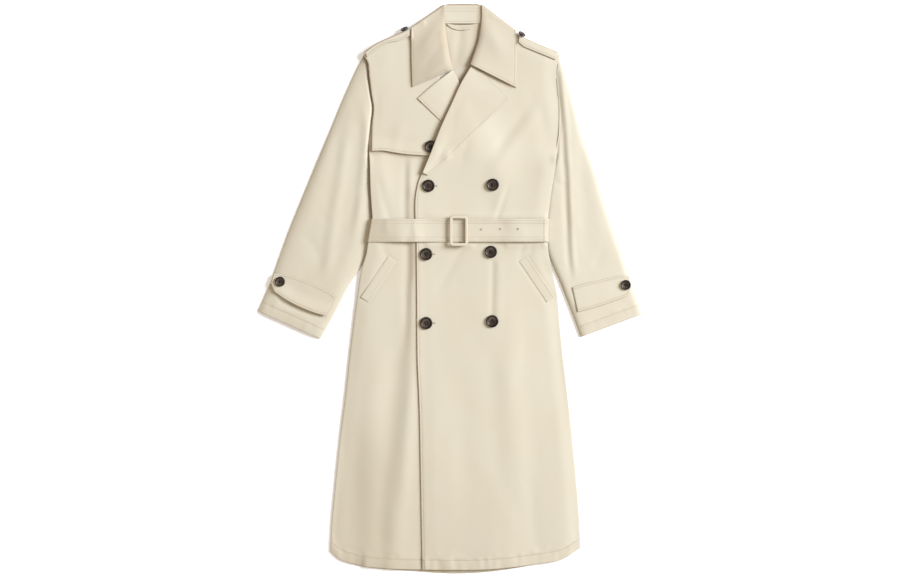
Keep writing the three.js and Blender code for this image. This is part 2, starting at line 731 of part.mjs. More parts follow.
// Plan of a length of belt: each station is a share of the way from the left to the right side edge
const beltPlan = (shares) =>
  shares.map((along) =>
    BELT_SHARES.map((s) => [lerp(leftSide(beltY(s)), rightSide(beltY(s)), along), beltY(s)]),
  );
const beltShare = (x) =>
  (x - leftSide(BELT.middleY)) / (rightSide(BELT.middleY) - leftSide(BELT.middleY));
const steps = (from, to, count) =>
  Array.from({ length: count + 1 }, (_, i) => lerp(from, to, i / count));

const beltBackPlan = beltPlan(steps(1, 0, 18));
const beltBackLow = lay(beltBackPlan);
const beltBack = {
  low: withHeight(beltBackPlan, beltBackLow),
  high: withHeight(beltBackPlan, beltBackLow, () => DOUBLE_T),
};
pile.stamp(beltBack.high);

// Collar
const COLLAR_SHARES = [0, 0.12, 0.35, 0.6, 0.85, 1];
const collarBackPlan = crossPlan(COLLAR_BACK, COLLAR_SHARES, ACROSS);
const collarBack = {
  low: withHeight(collarBackPlan, collarBackPlan.map((row) => row.map(() => 0))),
  high: withHeight(collarBackPlan, collarBackPlan.map((row) => row.map(() => DOUBLE_T))),
};
pile.stamp(collarBack.high);

// Shoulder straps
const STRAP_KEYS = ["foldX", "foldY", "frontX", "frontY"];
function strapBackPlan(table) {
  const first = table[0];
  const end = table[table.length - 1];
  const length = Math.hypot(end.foldX - first.foldX, end.foldY - first.foldY);
  const sign = Math.sign(end.foldX - first.foldX);
  const inX = (sign * (end.foldY - first.foldY)) / length;
  const inY = (-sign * (end.foldX - first.foldX)) / length;
  return table.map((row) =>
    [0, 0.5, 1].map((s) => [
      row.foldX + inX * s * STRAP_BACK_WIDTH,
      row.foldY + inY * s * STRAP_BACK_WIDTH,
    ]),
  );
}
const strapBacks = [RIGHT_STRAP, LEFT_STRAP].map((table) => {
  const plan = strapBackPlan(table);
  const low = lay(plan);
  const back = {
    low: withHeight(plan, low),
    high: withHeight(plan, low, () => DOUBLE_T),
  };
  pile.stamp(back.high);
  return back;
});

// ---- back, neck band and loop ----

const BACK_SHARES = [0, 0.04, 0.13, 0.24, 0.35, 0.45, 0.55, 0.66, 0.77, 0.88, 0.96, 1];
const backTop = [
  ...SHOULDERS.filter((p) => p.x <= NECKLINE[0].x),
  ...NECKLINE.slice(1),
  ...SHOULDERS.filter((p) => p.x > NECKLINE[NECKLINE.length - 1].x),
];
const backPlan = panelPlan(ROWS, BACK_SHARES, leftSide, rightSide, backTop, BACK_HEM);
flatPiece("back", backPlan, PANEL_T, { slack: 4 });

const standPlan = [
  { y: 610, left: -12.5, right: 65.5 },
  { y: 592, left: -11.5, right: 65 },
  { y: 574.5, left: -9.5, right: 63.5 },
].map((row) => steps(row.left, row.right, 6).map((x) => [x, row.y]));
flatPiece("collar_stand", standPlan, DOUBLE_T, { slack: 3 });

const LOOP_PATH = [
  { x: -6, y: 571 },
  { x: 4, y: 564.5 },
  { x: 20, y: 561 },
  { x: 34, y: 561.5 },
  { x: 44, y: 563.5 },
];
const loopPlan = LOOP_PATH.map((p) => [
  [p.x, p.y],
  [p.x, p.y - 5],
]);
flatPiece("hanger_loop", loopPlan, 1.2, { slack: 1 });

// ---- fronts ----

const FRONT_SHARES = [0, 0.012, 0.05, 0.11, 0.19, 0.28, 0.37, 0.46, 0.55, 0.64, 0.74, 0.84, 0.93, 1];
const SHOULDER_REACH = 24;
const FOLD_AIR = 0.6; // share of a ridge's height that is air, the rest is pinched cloth

// Air below a front: highest a hand's breadth in from its side edge and level with the sleeve above
function frontLift(folds, side) {
  return (x, y) => {
    const fromSide = Math.abs(x - bodyEdge(side, Math.min(y, SHOULDER_Y)));
    const fromShoulder = along(SHOULDERS, "x", "y", x) - y;
    const arm = smooth((y - UNDERARM_Y + 10) / 20);
    const edge = lerp(Math.sin((Math.PI / 2) * Math.min(1, fromSide / 24)), 1, arm);
    const swell = lerp(0.9, 2.3, Math.exp(-(((fromSide - 24) / 60) ** 2)));
    const shoulder = smooth(fromShoulder / SHOULDER_REACH);
    return edge * shoulder * Math.max(0, swell + FOLD_AIR * foldHeight(folds, x, y));
  };
}

function foldSwell(plan, folds) {
  return (i, j) => Math.max(0, (1 - FOLD_AIR) * foldHeight(folds, plan[i][j][0], plan[i][j][1]));
}

const underPlan = panelPlan(
  ROWS,
  FRONT_SHARES,
  leftSide,
  (y) => along(UNDER_EDGE, "y", "x", y),
  SHOULDERS,
  FRONT_HEM,
);
flatPiece("front_right", underPlan, PANEL_T, {
  lift: frontLift(UNDER_FOLDS, "left"),
  swell: foldSwell(underPlan, UNDER_FOLDS),
});

// Storm flap
const flapPlan = (() => {
  const rows = panelPlan(
    FLAP_ROWS,
    [0, 0.04, 0.14, 0.3, 0.46, 0.62, 0.8, 1],
    (y) => leftSide(y) + 1,
    (y) => along(FLAP_INNER, "y", "x", y),
    SHOULDERS,
    FRONT_HEM,
  );
  const low = rows[rows.length - 1].map(([x]) => [x, along(FLAP_LOW, "x", "y", x)]);
  const above = low.map(([x, y]) => [x, y + 4]);
  return [...rows.slice(0, -1), above, low];
})();
flatPiece("storm_flap", flapPlan, DOUBLE_T, {
  lift: (x, y) => 0.5 + 0.9 * Math.exp(-(((y - 288) / 12) ** 2)),
});

// Lapels
const LAPEL_SHARES = [0, 0.06, 0.3, 0.6, 0.94, 1];
const underLapelPlan = crossPlan(UNDER_LAPEL, LAPEL_SHARES, ACROSS).map((row) => row.reverse());
flatPiece("lapel_right", underLapelPlan, DOUBLE_T, { lift: () => 0.5, slack: 4 });

function disc(name, x, y, z, size, axis) {
  const sides = 20;
  const radius = size.diameter / 2;
  const profile = [
    { r: radius * 0.72, z: 0 },
    { r: radius, z: size.height * 0.45 },
    { r: radius * 0.97, z: size.height * 0.85 },
    { r: radius * 0.84, z: size.height },
    { r: radius * 0.68, z: size.height * 0.72 },
  ];
  const positions = [[0, 0, 0]];
  for (const ring of profile)
    for (let k = 0; k < sides; k++) {
      const angle = (2 * Math.PI * k) / sides;
      positions.push([ring.r * Math.cos(angle), ring.r * Math.sin(angle), ring.z]);
    }
  positions.push([0, 0, size.height * 0.6]);
  const last = positions.length - 1;
  const triangles = [];
  for (let k = 0; k < sides; k++) {
    const next = (k + 1) % sides;
    triangles.push([0, 1 + next, 1 + k]);
    for (let ring = 0; ring + 1 < profile.length; ring++) {
      const a = 1 + ring * sides;
      const b = a + sides;
      triangles.push([a + k, a + next, b + next], [a + k, b + next, b + k]);
    }
    const top = 1 + (profile.length - 1) * sides;
    triangles.push([last, top + k, top + next]);
  }
  const mesh = meshOf(name, positions, triangles, HORN);
  const turn = new THREE.Quaternion().setFromUnitVectors(new THREE.Vector3(0, 0, 1), axis);
  mesh.geometry.applyQuaternion(turn);
  mesh.geometry.translate(x, y, z);
  return mesh;
}

// A button that lies on the cloth, with a square of the pile raised so that later cloth clears it
function layButton(button) {
  const reach = button.size.diameter / 2;
  const z = pile.near(button.x, button.y, reach * 0.72) + 0.3;
  disc(button.name, button.x, button.y, z, button.size, new THREE.Vector3(0, 0, 1));
  const ring = [0, 1].map((i) =>
    [0, 1].map((j) => [
      button.x + (2 * i - 1) * reach,
      button.y + (2 * j - 1) * reach,
      z + button.size.height,
    ]),
  );
  pile.stamp(ring, (x, y) => Math.hypot(x - button.x, y - button.y) < reach + 2);
}

layButton(BUTTONS[0]);

const upperPlan = panelPlan(
  ROWS,
  FRONT_SHARES,
  (y) => along(UPPER_EDGE, "y", "x", y),
  rightSide,
  SHOULDERS,
  FRONT_HEM,
);
flatPiece("front_left", upperPlan, PANEL_T, {
  lift: frontLift(UPPER_FOLDS, "right"),
  swell: foldSwell(upperPlan, UPPER_FOLDS),
});

const upperLapelPlan = crossPlan(UPPER_LAPEL, LAPEL_SHARES, ACROSS);
flatPiece("lapel_left", upperLapelPlan, DOUBLE_T, { lift: () => 0.2, slack: 4 });

for (const pocket of POCKETS) {
  const tilt = THREE.MathUtils.degToRad(pocket.tilt);
  const plan = steps(1, -1, 4).map((v) =>
    [-1, 1].map((u) => {
      const across = u * pocket.halfWidth;
      const length = v * pocket.halfLength;
      return [
        pocket.x + across * Math.cos(tilt) + length * Math.sin(tilt),
        pocket.y - across * Math.sin(tilt) + length * Math.cos(tilt),
      ];
    }),
  );
  flatPiece(pocket.name, plan, PANEL_T, { slack: 1 });
}

// ---- parts of the strips that lie on the fronts ----

// Shoulder straps
[RIGHT_STRAP, LEFT_STRAP].forEach((table, index) => {
  const name = index === 0 ? "shoulder_strap_right" : "shoulder_strap_left";
  const frontPlan = crossPlan(table, [1, 0.5, 0], STRAP_KEYS);
  const height = lay(frontPlan, { slack: 2 });
  const low = withHeight(frontPlan, height);
  const high = withHeight(frontPlan, height, () => DOUBLE_T);
  pile.stamp(high);
  const back = strapBacks[index];
  const outer = [];
  const inner = [];
  table.forEach((row, i) => {
    const fold = high[i][2];
    const foldLow = low[i][2];
    const under = back.low[i][0];
    const underHigh = back.high[i][0];
    const dx = fold[0] - back.low[i][1][0];
    const dy = fold[1] - back.low[i][1][1];
    const length = Math.hypot(dx, dy);
    const ox = dx / length;
    const oy = dy / length;
    const rim = [0.8, 0.2].map((t) => [
      fold[0] + ox * (TUCK_GAP + DOUBLE_T),
      fold[1] + oy * (TUCK_GAP + DOUBLE_T),
      lerp(under[2], fold[2], t),
    ]);
    const rimInner = [0.7, 0.3].map((t) => [
      fold[0] + ox * TUCK_GAP,
      fold[1] + oy * TUCK_GAP,
      lerp(underHigh[2], foldLow[2], t),
    ]);
    outer.push([high[i][0], high[i][1], fold, ...rim, ...back.low[i]]);
    inner.push([low[i][0], low[i][1], foldLow, ...rimInner, ...back.high[i]]);
  });
  sheet(name, outer, inner);
});

// Collar leaves, laid over the lapels and straps, joined behind the neck
const rightLeafPlan = crossPlan(COLLAR_RIGHT_LEAF, COLLAR_SHARES, ACROSS);
const leftLeafPlan = crossPlan(COLLAR_LEFT_LEAF, COLLAR_SHARES, ACROSS);
const rollLift = (x, y, i, j) => [0.4, 1.6, 1.2, 0.6, 0.4, 0.3][j];
const leaves = [rightLeafPlan, leftLeafPlan].map((plan) => {
  const height = lay(plan, { lift: rollLift, slack: 4 });
  const low = withHeight(plan, height);
  const high = withHeight(plan, height, () => DOUBLE_T);
  pile.stamp(high);
  return { low, high };
});

function collarTurn(row, leafRow, sign) {
  const length = Math.hypot(row.outX - row.inX, row.outY - row.inY);
  const ox = (-sign * (row.outY - row.inY)) / length;
  const oy = (sign * (row.outX - row.inX)) / length;
  const plan = COLLAR_SHARES.map((s) => [lerp(row.inX, row.outX, s), lerp(row.inY, row.outY, s)]);
  const section = (inset, z) => plan.map(([x, y], j) => [x - ox * inset, y - oy * inset, z(j)]);
  const top = (j) => leafRow[j][2];
  return {
    outer: [section(0.6, (j) => top(j) - 0.5), section(0, (j) => top(j) / 2), section(0.6, () => 0.4)],
    inner: [
      section(2.8, (j) => top(j) - DOUBLE_T - 0.3),
      section(2.4, (j) => top(j) / 2),
      section(2.8, () => DOUBLE_T),
    ],
  };
}

const rightTurn = collarTurn(COLLAR_RIGHT_TURN, leaves[0].high[leaves[0].high.length - 1], -1);
const leftTurn = collarTurn(COLLAR_LEFT_TURN, leaves[1].high[0], 1);
sheet(
  "collar",
  [
    ...leaves[0].high,
    ...rightTurn.outer,
    ...collarBack.low,
    ...[...leftTurn.outer].reverse(),
    ...leaves[1].high,
  ],
  [
    ...leaves[0].low,
    ...rightTurn.inner,
    ...collarBack.high,
    ...[...leftTurn.inner].reverse(),
    ...leaves[1].low,
  ],
);

// Belt: from the buckle's bar to the wearer's left side, round the back, and over the front again
const anchorPlan = beltPlan(steps(beltShare(BELT.anchorX), 1, 8));
const anchorHeight = lay(anchorPlan, { slack: 3 });
const anchor = {
  low: withHeight(anchorPlan, anchorHeight),
  high: withHeight(anchorPlan, anchorHeight, () => DOUBLE_T),
};
pile.stamp(anchor.high);
const overPlan = beltPlan([
  ...steps(0, beltShare(BELT.anchorX - 12), 9),
  ...steps(beltShare(BELT.anchorX), beltShare(BELT.tipX), 8),
]);
const overHeight = lay(overPlan, { slack: 3 });
const over = {
  low: withHeight(overPlan, overHeight),
  high: withHeight(overPlan, overHeight, () => DOUBLE_T),
};
pile.stamp(over.high);

// Wrap sections at a side edge of the body, from the front part down to the back part
function beltTurn(front, back, side, sign) {
  const section = (out, t, from, to) =>
    BELT_SHARES.map((s, j) => [side(beltY(s)) + sign * out, beltY(s), lerp(from[j][2], to[j][2], t)]);
  return {
    outer: [0.85, 0.15].map((t) => section(TUCK_GAP + DOUBLE_T, t, back.low, front.high)),
    inner: [0.95, 0.05].map((t) => section(TUCK_GAP, t, back.high, front.low)),
  };
}
const lastOf = (rows) => rows[rows.length - 1];
const beltRightTurn = beltTurn(
  { high: lastOf(anchor.high), low: lastOf(anchor.low) },
  { high: beltBack.high[0], low: beltBack.low[0] },
  rightSide,
  1,
);
const beltLeftTurn = beltTurn(
  { high: over.high[0], low: over.low[0] },
  { high: lastOf(beltBack.high), low: lastOf(beltBack.low) },
  leftSide,
  -1,
);
const beltOuter = [
  ...anchor.high,
  ...beltRightTurn.outer,
  ...beltBack.low,
  ...[...beltLeftTurn.outer].reverse(),
  ...over.high,
];
const beltInner = [
  ...anchor.low,
  ...beltRightTurn.inner,
  ...beltBack.high,
  ...[...beltLeftTurn.inner].reverse(),
  ...over.low,
];
sheet("belt", beltOuter, beltInner);

// Buckle
function roundedRect(path, width, height, radius) {
  const x = width / 2;
  const y = height / 2;
  path.moveTo(-x + radius, -y);
  path.lineTo(x - radius, -y);
  path.absarc(x - radius, -y + radius, radius, -Math.PI / 2, 0, false);
  path.lineTo(x, y - radius);
  path.absarc(x - radius, y - radius, radius, 0, Math.PI / 2, false);
  path.lineTo(-x + radius, y);
  path.absarc(-x + radius, y - radius, radius, Math.PI / 2, Math.PI, false);
  path.lineTo(-x, -y + radius);
  path.absarc(-x + radius, -y + radius, radius, Math.PI, 1.5 * Math.PI, false);
  return path;
}
const frame = roundedRect(new THREE.Shape(), BUCKLE.width, BUCKLE.height, BUCKLE.corner);
frame.holes.push(
  roundedRect(
    new THREE.Path(),
    BUCKLE.width - 2 * BUCKLE.side,
    BUCKLE.height - 2 * BUCKLE.side,
    1.5,
  ),
);
const buckleGeometry = new THREE.ExtrudeGeometry(frame, {
  depth: BUCKLE.thick,
  bevelEnabled: false,
  curveSegments: 4,
});
const buckleZ = pile.near(BUCKLE.x, BUCKLE.y, 38) + 0.3;
buckleGeometry.translate(BUCKLE.x, BUCKLE.y, buckleZ);
const buckle = new THREE.Mesh(buckleGeometry, new THREE.MeshStandardMaterial(CLOTH));
buckle.name = "buckle";
group.add(buckle);

// Cuff straps
const CUFF_KEYS = ["upX", "upY", "lowX", "lowY"];
[RIGHT_CUFF_STRAP, LEFT_CUFF_STRAP].forEach((table, index) => {
  const name = index === 0 ? "cuff_strap_right" : "cuff_strap_left";
  const plan = crossPlan(table, [0, 0.06, 0.5, 0.94, 1], CUFF_KEYS);
  flatPiece(name, plan, DOUBLE_T, { lift: () => 0.2, slack: 3 });
});

for (const button of BUTTONS.slice(1)) layButton(button);

for (const button of SHOULDER_BUTTONS) {
  const rise = THREE.MathUtils.degToRad(SHOULDER_BUTTON_RISE);
  const axis = new THREE.Vector3(
    button.dirX * Math.cos(rise),
    button.dirY * Math.cos(rise),
    Math.sin(rise),
  ).normalize();
  disc(button.name, button.x, button.y, SHOULDER_BUTTON_Z, SHOULDER_BUTTON, axis);
}

// The part's frame: middle of the box in plan, floor at zero
const box = new THREE.Box3().setFromObject(group);
for (const mesh of group.children)
  mesh.geometry.translate(-(box.min.x + box.max.x) / 2, -(box.min.y + box.max.y) / 2, -box.min.z);

export default group;
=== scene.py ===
"""Looks of a double-breasted trench coat that lies flat on its back with the front up.

Tables are in millimetres of the coat's own plan: +Z up, +Y towards the collar, the wearer's right side at -X.
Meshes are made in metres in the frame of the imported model.
"""

import json
import logging
import math
from dataclasses import dataclass, field
from enum import Enum
from typing import Any, Callable, ClassVar, Iterable, Sequence

import bpy
import numpy as np
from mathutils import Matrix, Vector
from mathutils.bvhtree import BVHTree

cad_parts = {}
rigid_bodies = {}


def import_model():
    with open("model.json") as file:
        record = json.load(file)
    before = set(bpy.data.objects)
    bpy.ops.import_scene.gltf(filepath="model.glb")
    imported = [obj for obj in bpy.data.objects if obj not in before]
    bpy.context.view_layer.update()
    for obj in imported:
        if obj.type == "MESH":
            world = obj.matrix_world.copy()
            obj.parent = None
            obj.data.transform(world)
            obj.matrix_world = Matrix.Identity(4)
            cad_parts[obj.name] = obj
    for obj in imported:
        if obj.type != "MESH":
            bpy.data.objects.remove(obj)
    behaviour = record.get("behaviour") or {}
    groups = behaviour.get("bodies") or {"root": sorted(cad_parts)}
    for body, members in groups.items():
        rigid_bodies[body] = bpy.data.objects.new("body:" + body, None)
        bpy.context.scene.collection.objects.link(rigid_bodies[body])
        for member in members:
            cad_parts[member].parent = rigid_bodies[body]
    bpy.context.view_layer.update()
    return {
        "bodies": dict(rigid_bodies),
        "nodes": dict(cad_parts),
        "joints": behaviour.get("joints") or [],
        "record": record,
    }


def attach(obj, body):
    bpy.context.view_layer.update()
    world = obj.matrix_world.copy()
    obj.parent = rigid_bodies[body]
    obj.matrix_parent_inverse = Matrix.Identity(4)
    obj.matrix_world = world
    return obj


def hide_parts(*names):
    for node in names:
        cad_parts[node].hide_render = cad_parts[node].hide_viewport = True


log = logging.getLogger("coat")

Array = np.ndarray
MM = 0.001
# Middle of the coat's box in the plan of the tables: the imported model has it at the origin
PLAN_MIDDLE = np.array((0.0, 0.9))

# Cloth and clearances
PANEL_T = 1.3
DOUBLE_T = 1.8
LAY_GAP = 0.45
# a gap below this one asks for a close fit
CLOSE_GAP = 0.3
TUCK_GAP = 0.8
CONTACT_GAP = 0.3
# Height at which a sleeve starts to pass under the body's side edge, and the top of the armhole
TUCK_Y = 262.0
ARMHOLE_TOP = 486.0
# Widths over which air below a panel and folds on it fade towards its long edges
AIR_REACH = 34.0
FOLD_REACH = 9.0
# Groove that a row of stitches draws into the cloth: depth as a share of the wall, and width. The same share
# darkens the cloth along the stitches, for the seam line and as painted shade in its groove
GROOVE_DEPTH = 0.12
GROOVE_WIDTH = 0.9
TURN_ROWS = 7
TOPSTITCH = 5.0
# Reach of the collar stand under the two leaves of the collar
STAND_TUCK = 3.5
HEM_STITCH = 21.0
# Width to which the narrowest strip is cut before its edges are folded in
NARROWEST_CUT = 10.0
# Least share of its rectangle that a cut takes up
LEAST_SHARE = 0.3
# Share of painted shade on the inner face of every shell, which also darkens its side walls
INSIDE_SHADE = 0.3
FINE_STEP = 4.0


class Side(Enum):
    """Sides of a piece's plan."""

    LEFT = "left"
    RIGHT = "right"
    TOP = "top"
    BOTTOM = "bottom"


class Held(Enum):
    """How a sheet of cloth is held."""

    LAID = "laid"
    FOLDED = "folded"


class Slot(Enum):
    """Material slots of the record."""

    CLOTH = "cloth"
    BUTTONS = "buttons"


class Fold(Enum):
    """Profile of a crease: a ridge or trough, or a step that is higher on its +X side."""

    ROUND = "round"
    FLANK = "flank"


# Tables and lines in plan


class Table:
    """A short table with named columns."""

    def __init__(self, columns: str, *rows: Sequence[float]) -> None:
        """Keeps the rows.

        Args:
            columns: names of the columns with spaces between them.
            rows: one sequence of numbers for each row.
        """
        self.names = columns.split()
        self.values = np.array(rows, dtype=float)

    def column(self, name: str) -> Array:
        """Returns one column by its name."""
        return self.values[:, self.names.index(name)]

    def points(self, x: str = "x", y: str = "y") -> Array:
        """Returns two columns as points in plan."""
        return np.stack((self.column(x), self.column(y)), axis=1)


def smooth(t: Array | float) -> Array:
    """Returns 0 to 1 with level ends, for t from 0 to 1."""
    c = np.clip(t, 0.0, 1.0)
    return c * c * (3 - 2 * c)


class Line:
    """Smooth line through points in plan, with sharp corners where asked."""

    def __init__(self, points: Any, corners: Iterable[int] = (), knots: Array | None = None) -> None:
        """Works out the slopes at the points.

        Args:
            points: rows of x and y.
            corners: indices of the points where the line turns sharply.
            knots: share of the line at each point, or None to go by length.
        """
        self.points = np.asarray(points, dtype=float)
        steps = np.linalg.norm(np.diff(self.points, axis=0), axis=1)
        self.length = float(steps.sum())
        self.knots = np.concatenate(([0.0], np.cumsum(steps))) / self.length if knots is None else knots
        spans = np.diff(self.knots)[:, None]
        chords = np.diff(self.points, axis=0) / spans
        arrive = np.concatenate((chords[:1], chords))
        leave = np.concatenate((chords, chords[-1:]))
        middle = slice(1, -1)
        blend = (chords[:-1] * spans[1:] + chords[1:] * spans[:-1]) / (spans[1:] + spans[:-1])
        self.arrive = arrive.copy()
        self.leave = leave.copy()
        self.arrive[middle] = blend
        self.leave[middle] = blend
        for corner in corners:
            self.arrive[corner] = arrive[corner]
            self.leave[corner] = leave[corner]

    def at(self, share: Array | float) -> Array:
        """Returns the points at shares of the line, in an array with one more axis."""
        s = np.clip(np.asarray(share, dtype=float), 0.0, 1.0)
        i = np.clip(np.searchsorted(self.knots, s, side="right") - 1, 0, len(self.knots) - 2)
        span = (self.knots[i + 1] - self.knots[i])[..., None]
        t = (s - self.knots[i])[..., None] / span
        square = t * t
        cube = square * t
        return (
            (2 * cube - 3 * square + 1) * self.points[i]
            + (cube - 2 * square + t) * span * self.leave[i]
            + (3 * square - 2 * cube) * self.points[i + 1]
            + (cube - square) * span * self.arrive[i + 1]
        )


# Outline of the body: x of the side edges at each height, armholes above the underarm
BODY = Table(
    "y left right", (503, -188, 235), (490, -180, 232), (455, -175, 227.5), (417, -170, 233),
    (391, -166, 236.5), (354, -170, 237), (306, -175, 230.7), (260, -173, 225.6), (215, -172, 218),
    (175, -169.5, 212.5), (154, -168, 210), (125, -172.5, 208.8), (98, -177, 209), (74, -181, 211.7),
    (49, -189, 216.5), (26, -194, 221.5), (-7, -199, 229), (-63, -207, 234), (-136, -216, 241),
    (-220, -225, 251), (-328, -238, 263), (-426, -248, 272), (-519, -256, 278.5), (-560, -258, 280),
)
RIGHT_SHOULDER = Table("x y", (-188, 501), (-166, 518), (-136, 533), (-108, 545), (-87, 556), (-32, 585))
NECKLINE = Table("x y", (-10, 573), (64, 573))
LEFT_SHOULDER = Table("x y", (89.3, 583.2), (145, 546), (171, 530), (203, 516), (236, 502))
RIGHT_HEM = Table(
    "x y", (-258, -566), (-242, -580), (-203, -594), (-127, -603), (-63, -605), (96, -603), (124, -600),
)
LEFT_HEM = Table("x y", (-60.5, -605), (96, -603), (176, -594), (246, -580), (280, -558))
BACK_HEM = Table(
    "x y", (-258, -566), (-242, -580), (-203, -595), (-127, -605), (-63, -609), (16, -613), (96, -608),
    (176, -595), (246, -580), (280, -558),
)
# Free edges of the fronts, from the shoulder to the hem
UPPER_EDGE = Table(
    "x y", (89.3, 583.2), (78, 540), (58, 500), (40, 472), (23, 443), (6, 406), (-16, 358), (-31, 321),
    (-45, 284), (-60, 250), (-68, 232), (-72.5, 213), (-73, 98), (-72, -24), (-71, -153), (-67, -248),
    (-64, -407), (-60.5, -605),
)
UNDER_EDGE = Table(
    "x y", (-32, 585), (-19, 540), (-6, 500), (6, 472), (21, 443), (86, 300), (121, 223), (129, 190),
    (124, -600),
)
# Sleeves: outer and inner end of each section from the armhole to the cuff
RIGHT_SLEEVE = Table(
    "outX outY inX inY", (-188, 503, -175, 306), (-207, 462, -161, 274), (-232, 406, -146, 238),
    (-262, 333, -143, 196), (-291, 264, -150, 150), (-318, 198, -167, 97), (-345, 132, -192, 46),
    (-367, 72, -216, 10), (-390, 8, -244, -44), (-414.5, -48, -280, -108),
)
LEFT_SLEEVE = Table(
    "outX outY inX inY", (235, 503, 230.7, 306), (251, 458, 216, 276), (267, 398, 204, 242),
    (288, 322, 195, 200), (310, 262, 194, 152), (330, 196, 202, 100), (351, 131, 219, 52),
    (371, 72, 237, 10), (392, 8, 257, -42), (414.5, -54, 280, -104),
)
FLAP_LOW = Table("x y", (-169, 296), (-142, 296), (-127, 293.5), (-101, 289.5), (-53, 286), (-8, 284))
FLAP_INNER = Table("x y", (-60, 571), (-34, 500), (-18, 430), (-8, 284))
FLAP_OUTER = Table(
    "x y", (-187, 501), (-179, 490), (-174, 455), (-169, 417), (-165, 391), (-168, 354), (-169, 296),
)
FLAP_TOP = Table("x y", (-187, 501), (-166, 517), (-136, 532), (-108, 544), (-87, 555), (-60, 571))

# Lapels: roll edge, then outer edge, from the gorge down. The third row is the point.
UNDER_LAPEL = Table(
    "inX inY outX outY", (6.5, 470, 0, 467), (13, 457, -38, 438), (21, 441, -71, 409), (45, 390, -17, 357),
    (70, 335, 32, 310), (96, 278, 80, 265), (118, 230, 114, 228),
)
UPPER_LAPEL = Table(
    "inX inY outX outY", (43, 476, 66, 468), (34, 461, 96, 440), (23, 442, 128, 410), (2, 396, 86, 368),
    (-20, 348, 42, 325), (-42, 292, -4, 280), (-60, 249, -48, 243),
)
LAPEL_POINT = 2

# Collar, from the wearer's right tip round the back to the left tip
COLLAR_RIGHT_LEAF = Table(
    "inX inY outX outY", (6, 472, -82, 433), (-1, 500, -83, 462), (-6, 530, -84, 496), (-10, 560, -84, 526),
    (-13, 588, -84, 549),
)
COLLAR_RIGHT_TURN = Table("inX inY outX outY", (-15, 612, -84, 563))
COLLAR_BACK = Table(
    "inX inY outX outY", (-8, 612, -74, 550), (8, 613, -30, 529), (28, 613.5, 28, 523), (48, 613, 86, 529),
    (62, 612, 133, 545),
)
COLLAR_LEFT_TURN = Table("inX inY outX outY", (69, 612, 143, 555))
COLLAR_LEFT_LEAF = Table(
    "inX inY outX outY", (67.5, 588, 143, 543), (64, 560, 143, 518), (58.5, 530, 143, 488),
    (50, 504, 142.5, 458), (42.5, 482, 142, 432),
)
COLLAR_STAND = Table("y left right", (610, -12.5, 65.5), (592, -11.5, 65), (570.5, -9.5, 63.5))
HANGER_LOOP = Table("x y", (-6, 571), (4, 564.5), (20, 561), (34, 561.5), (44, 563.5))

# Shoulder straps: lower edge in front and fold over the shoulder, from the sleeve to the neck
RIGHT_STRAP = Table(
    "frontX frontY foldX foldY", (-179, 497, -184, 507), (-163, 511, -166, 520.5), (-136, 527, -136, 536),
    (-110, 533, -108, 548), (-86, 544, -88, 558),
)
LEFT_STRAP = Table(
    "frontX frontY foldX foldY", (226, 492, 231, 506.5), (199, 503, 203, 518.5), (172, 514, 171, 532.5),
    (158, 520, 158, 539), (146, 530, 148, 547),
)

# Cuff straps: upper and lower edge from the sleeve's inner seam to the point
RIGHT_CUFF_STRAP = Table(
    "upX upY lowX lowY", (-246, -18, -268, -58), (-264, -5, -288, -53), (-290, 7, -312, -44),
    (-325, 21, -346, -28), (-358, 31, -378, -7), (-379, 33, -386, 12),
)
LEFT_CUFF_STRAP = Table(
    "upX upY lowX lowY", (262, 3, 274, -50), (285, 10, 294, -45), (315, 17, 322, -37), (345, 24, 354, -26),
    (368, 29, 381, -16), (384, 27, 390, 6),
)
CUFF_POINT = 4


@dataclass(frozen=True)
class Pocket:
    """Size and place of a slanted pocket welt, and the depth to which the front gives way under it."""

    node: str
    x: float
    y: float
    tilt: float
    half_length: float = 53.0
    half_width: float = 10.0
    depth: float = 0.55

    def at(self, plan: Array) -> Array:
        """Returns the height that the front loses under the welt, as a negative number."""
        tilt = math.radians(self.tilt)
        x, y = plan[..., 0] - self.x, plan[..., 1] - self.y
        along = np.abs(x * math.sin(tilt) + y * math.cos(tilt)) - self.half_length
        across = np.abs(x * math.cos(tilt) - y * math.sin(tilt)) - self.half_width
        return -self.depth * smooth((7.0 - along) / 7.0) * smooth((7.0 - across) / 7.0)


POCKETS = (
    Pocket("pocket_welt_right", -155, 20, 34),
    Pocket("pocket_welt_left", 186, 20, -34),
)


@dataclass(frozen=True)
class BeltSizes:
    """Sizes of the belt."""

    width: float = 49.5
    middle_y: float = 125.0
    tip_x: float = 205.0
    anchor_x: float = 30.0
    eyelets: tuple[tuple[float, float], ...] = ((66, 127), (107, 128), (145, 128))
    eyelet_radius: float = 2.1


BELT = BeltSizes()


@dataclass(frozen=True)
class ButtonPlace:
    """A button: its node, middle in plan and diameter."""

    node: str
    x: float
    y: float
    diameter: float
    holed: bool = False


FRONT_BUTTON = 26.7
CUFF_BUTTON = 21.5
SHOULDER_BUTTON = 17.0
BUTTON_HEIGHT = 3.8
BUTTONS = (
    ButtonPlace("button_flap", -42, 305, FRONT_BUTTON),
    ButtonPlace("button_front_1", -47, 221, FRONT_BUTTON, holed=True),
    ButtonPlace("button_front_2", 91, 223, FRONT_BUTTON),
    ButtonPlace("button_front_3", -52, 74, FRONT_BUTTON, holed=True),
    ButtonPlace("button_front_4", 87, 79, FRONT_BUTTON),
    ButtonPlace("button_front_5", -52, -74, FRONT_BUTTON, holed=True),
    ButtonPlace("button_front_6", 90, -70, FRONT_BUTTON),
    ButtonPlace("button_cuff_right", -366, 15, CUFF_BUTTON),
    ButtonPlace("button_cuff_left", 377, 8, CUFF_BUTTON),
)
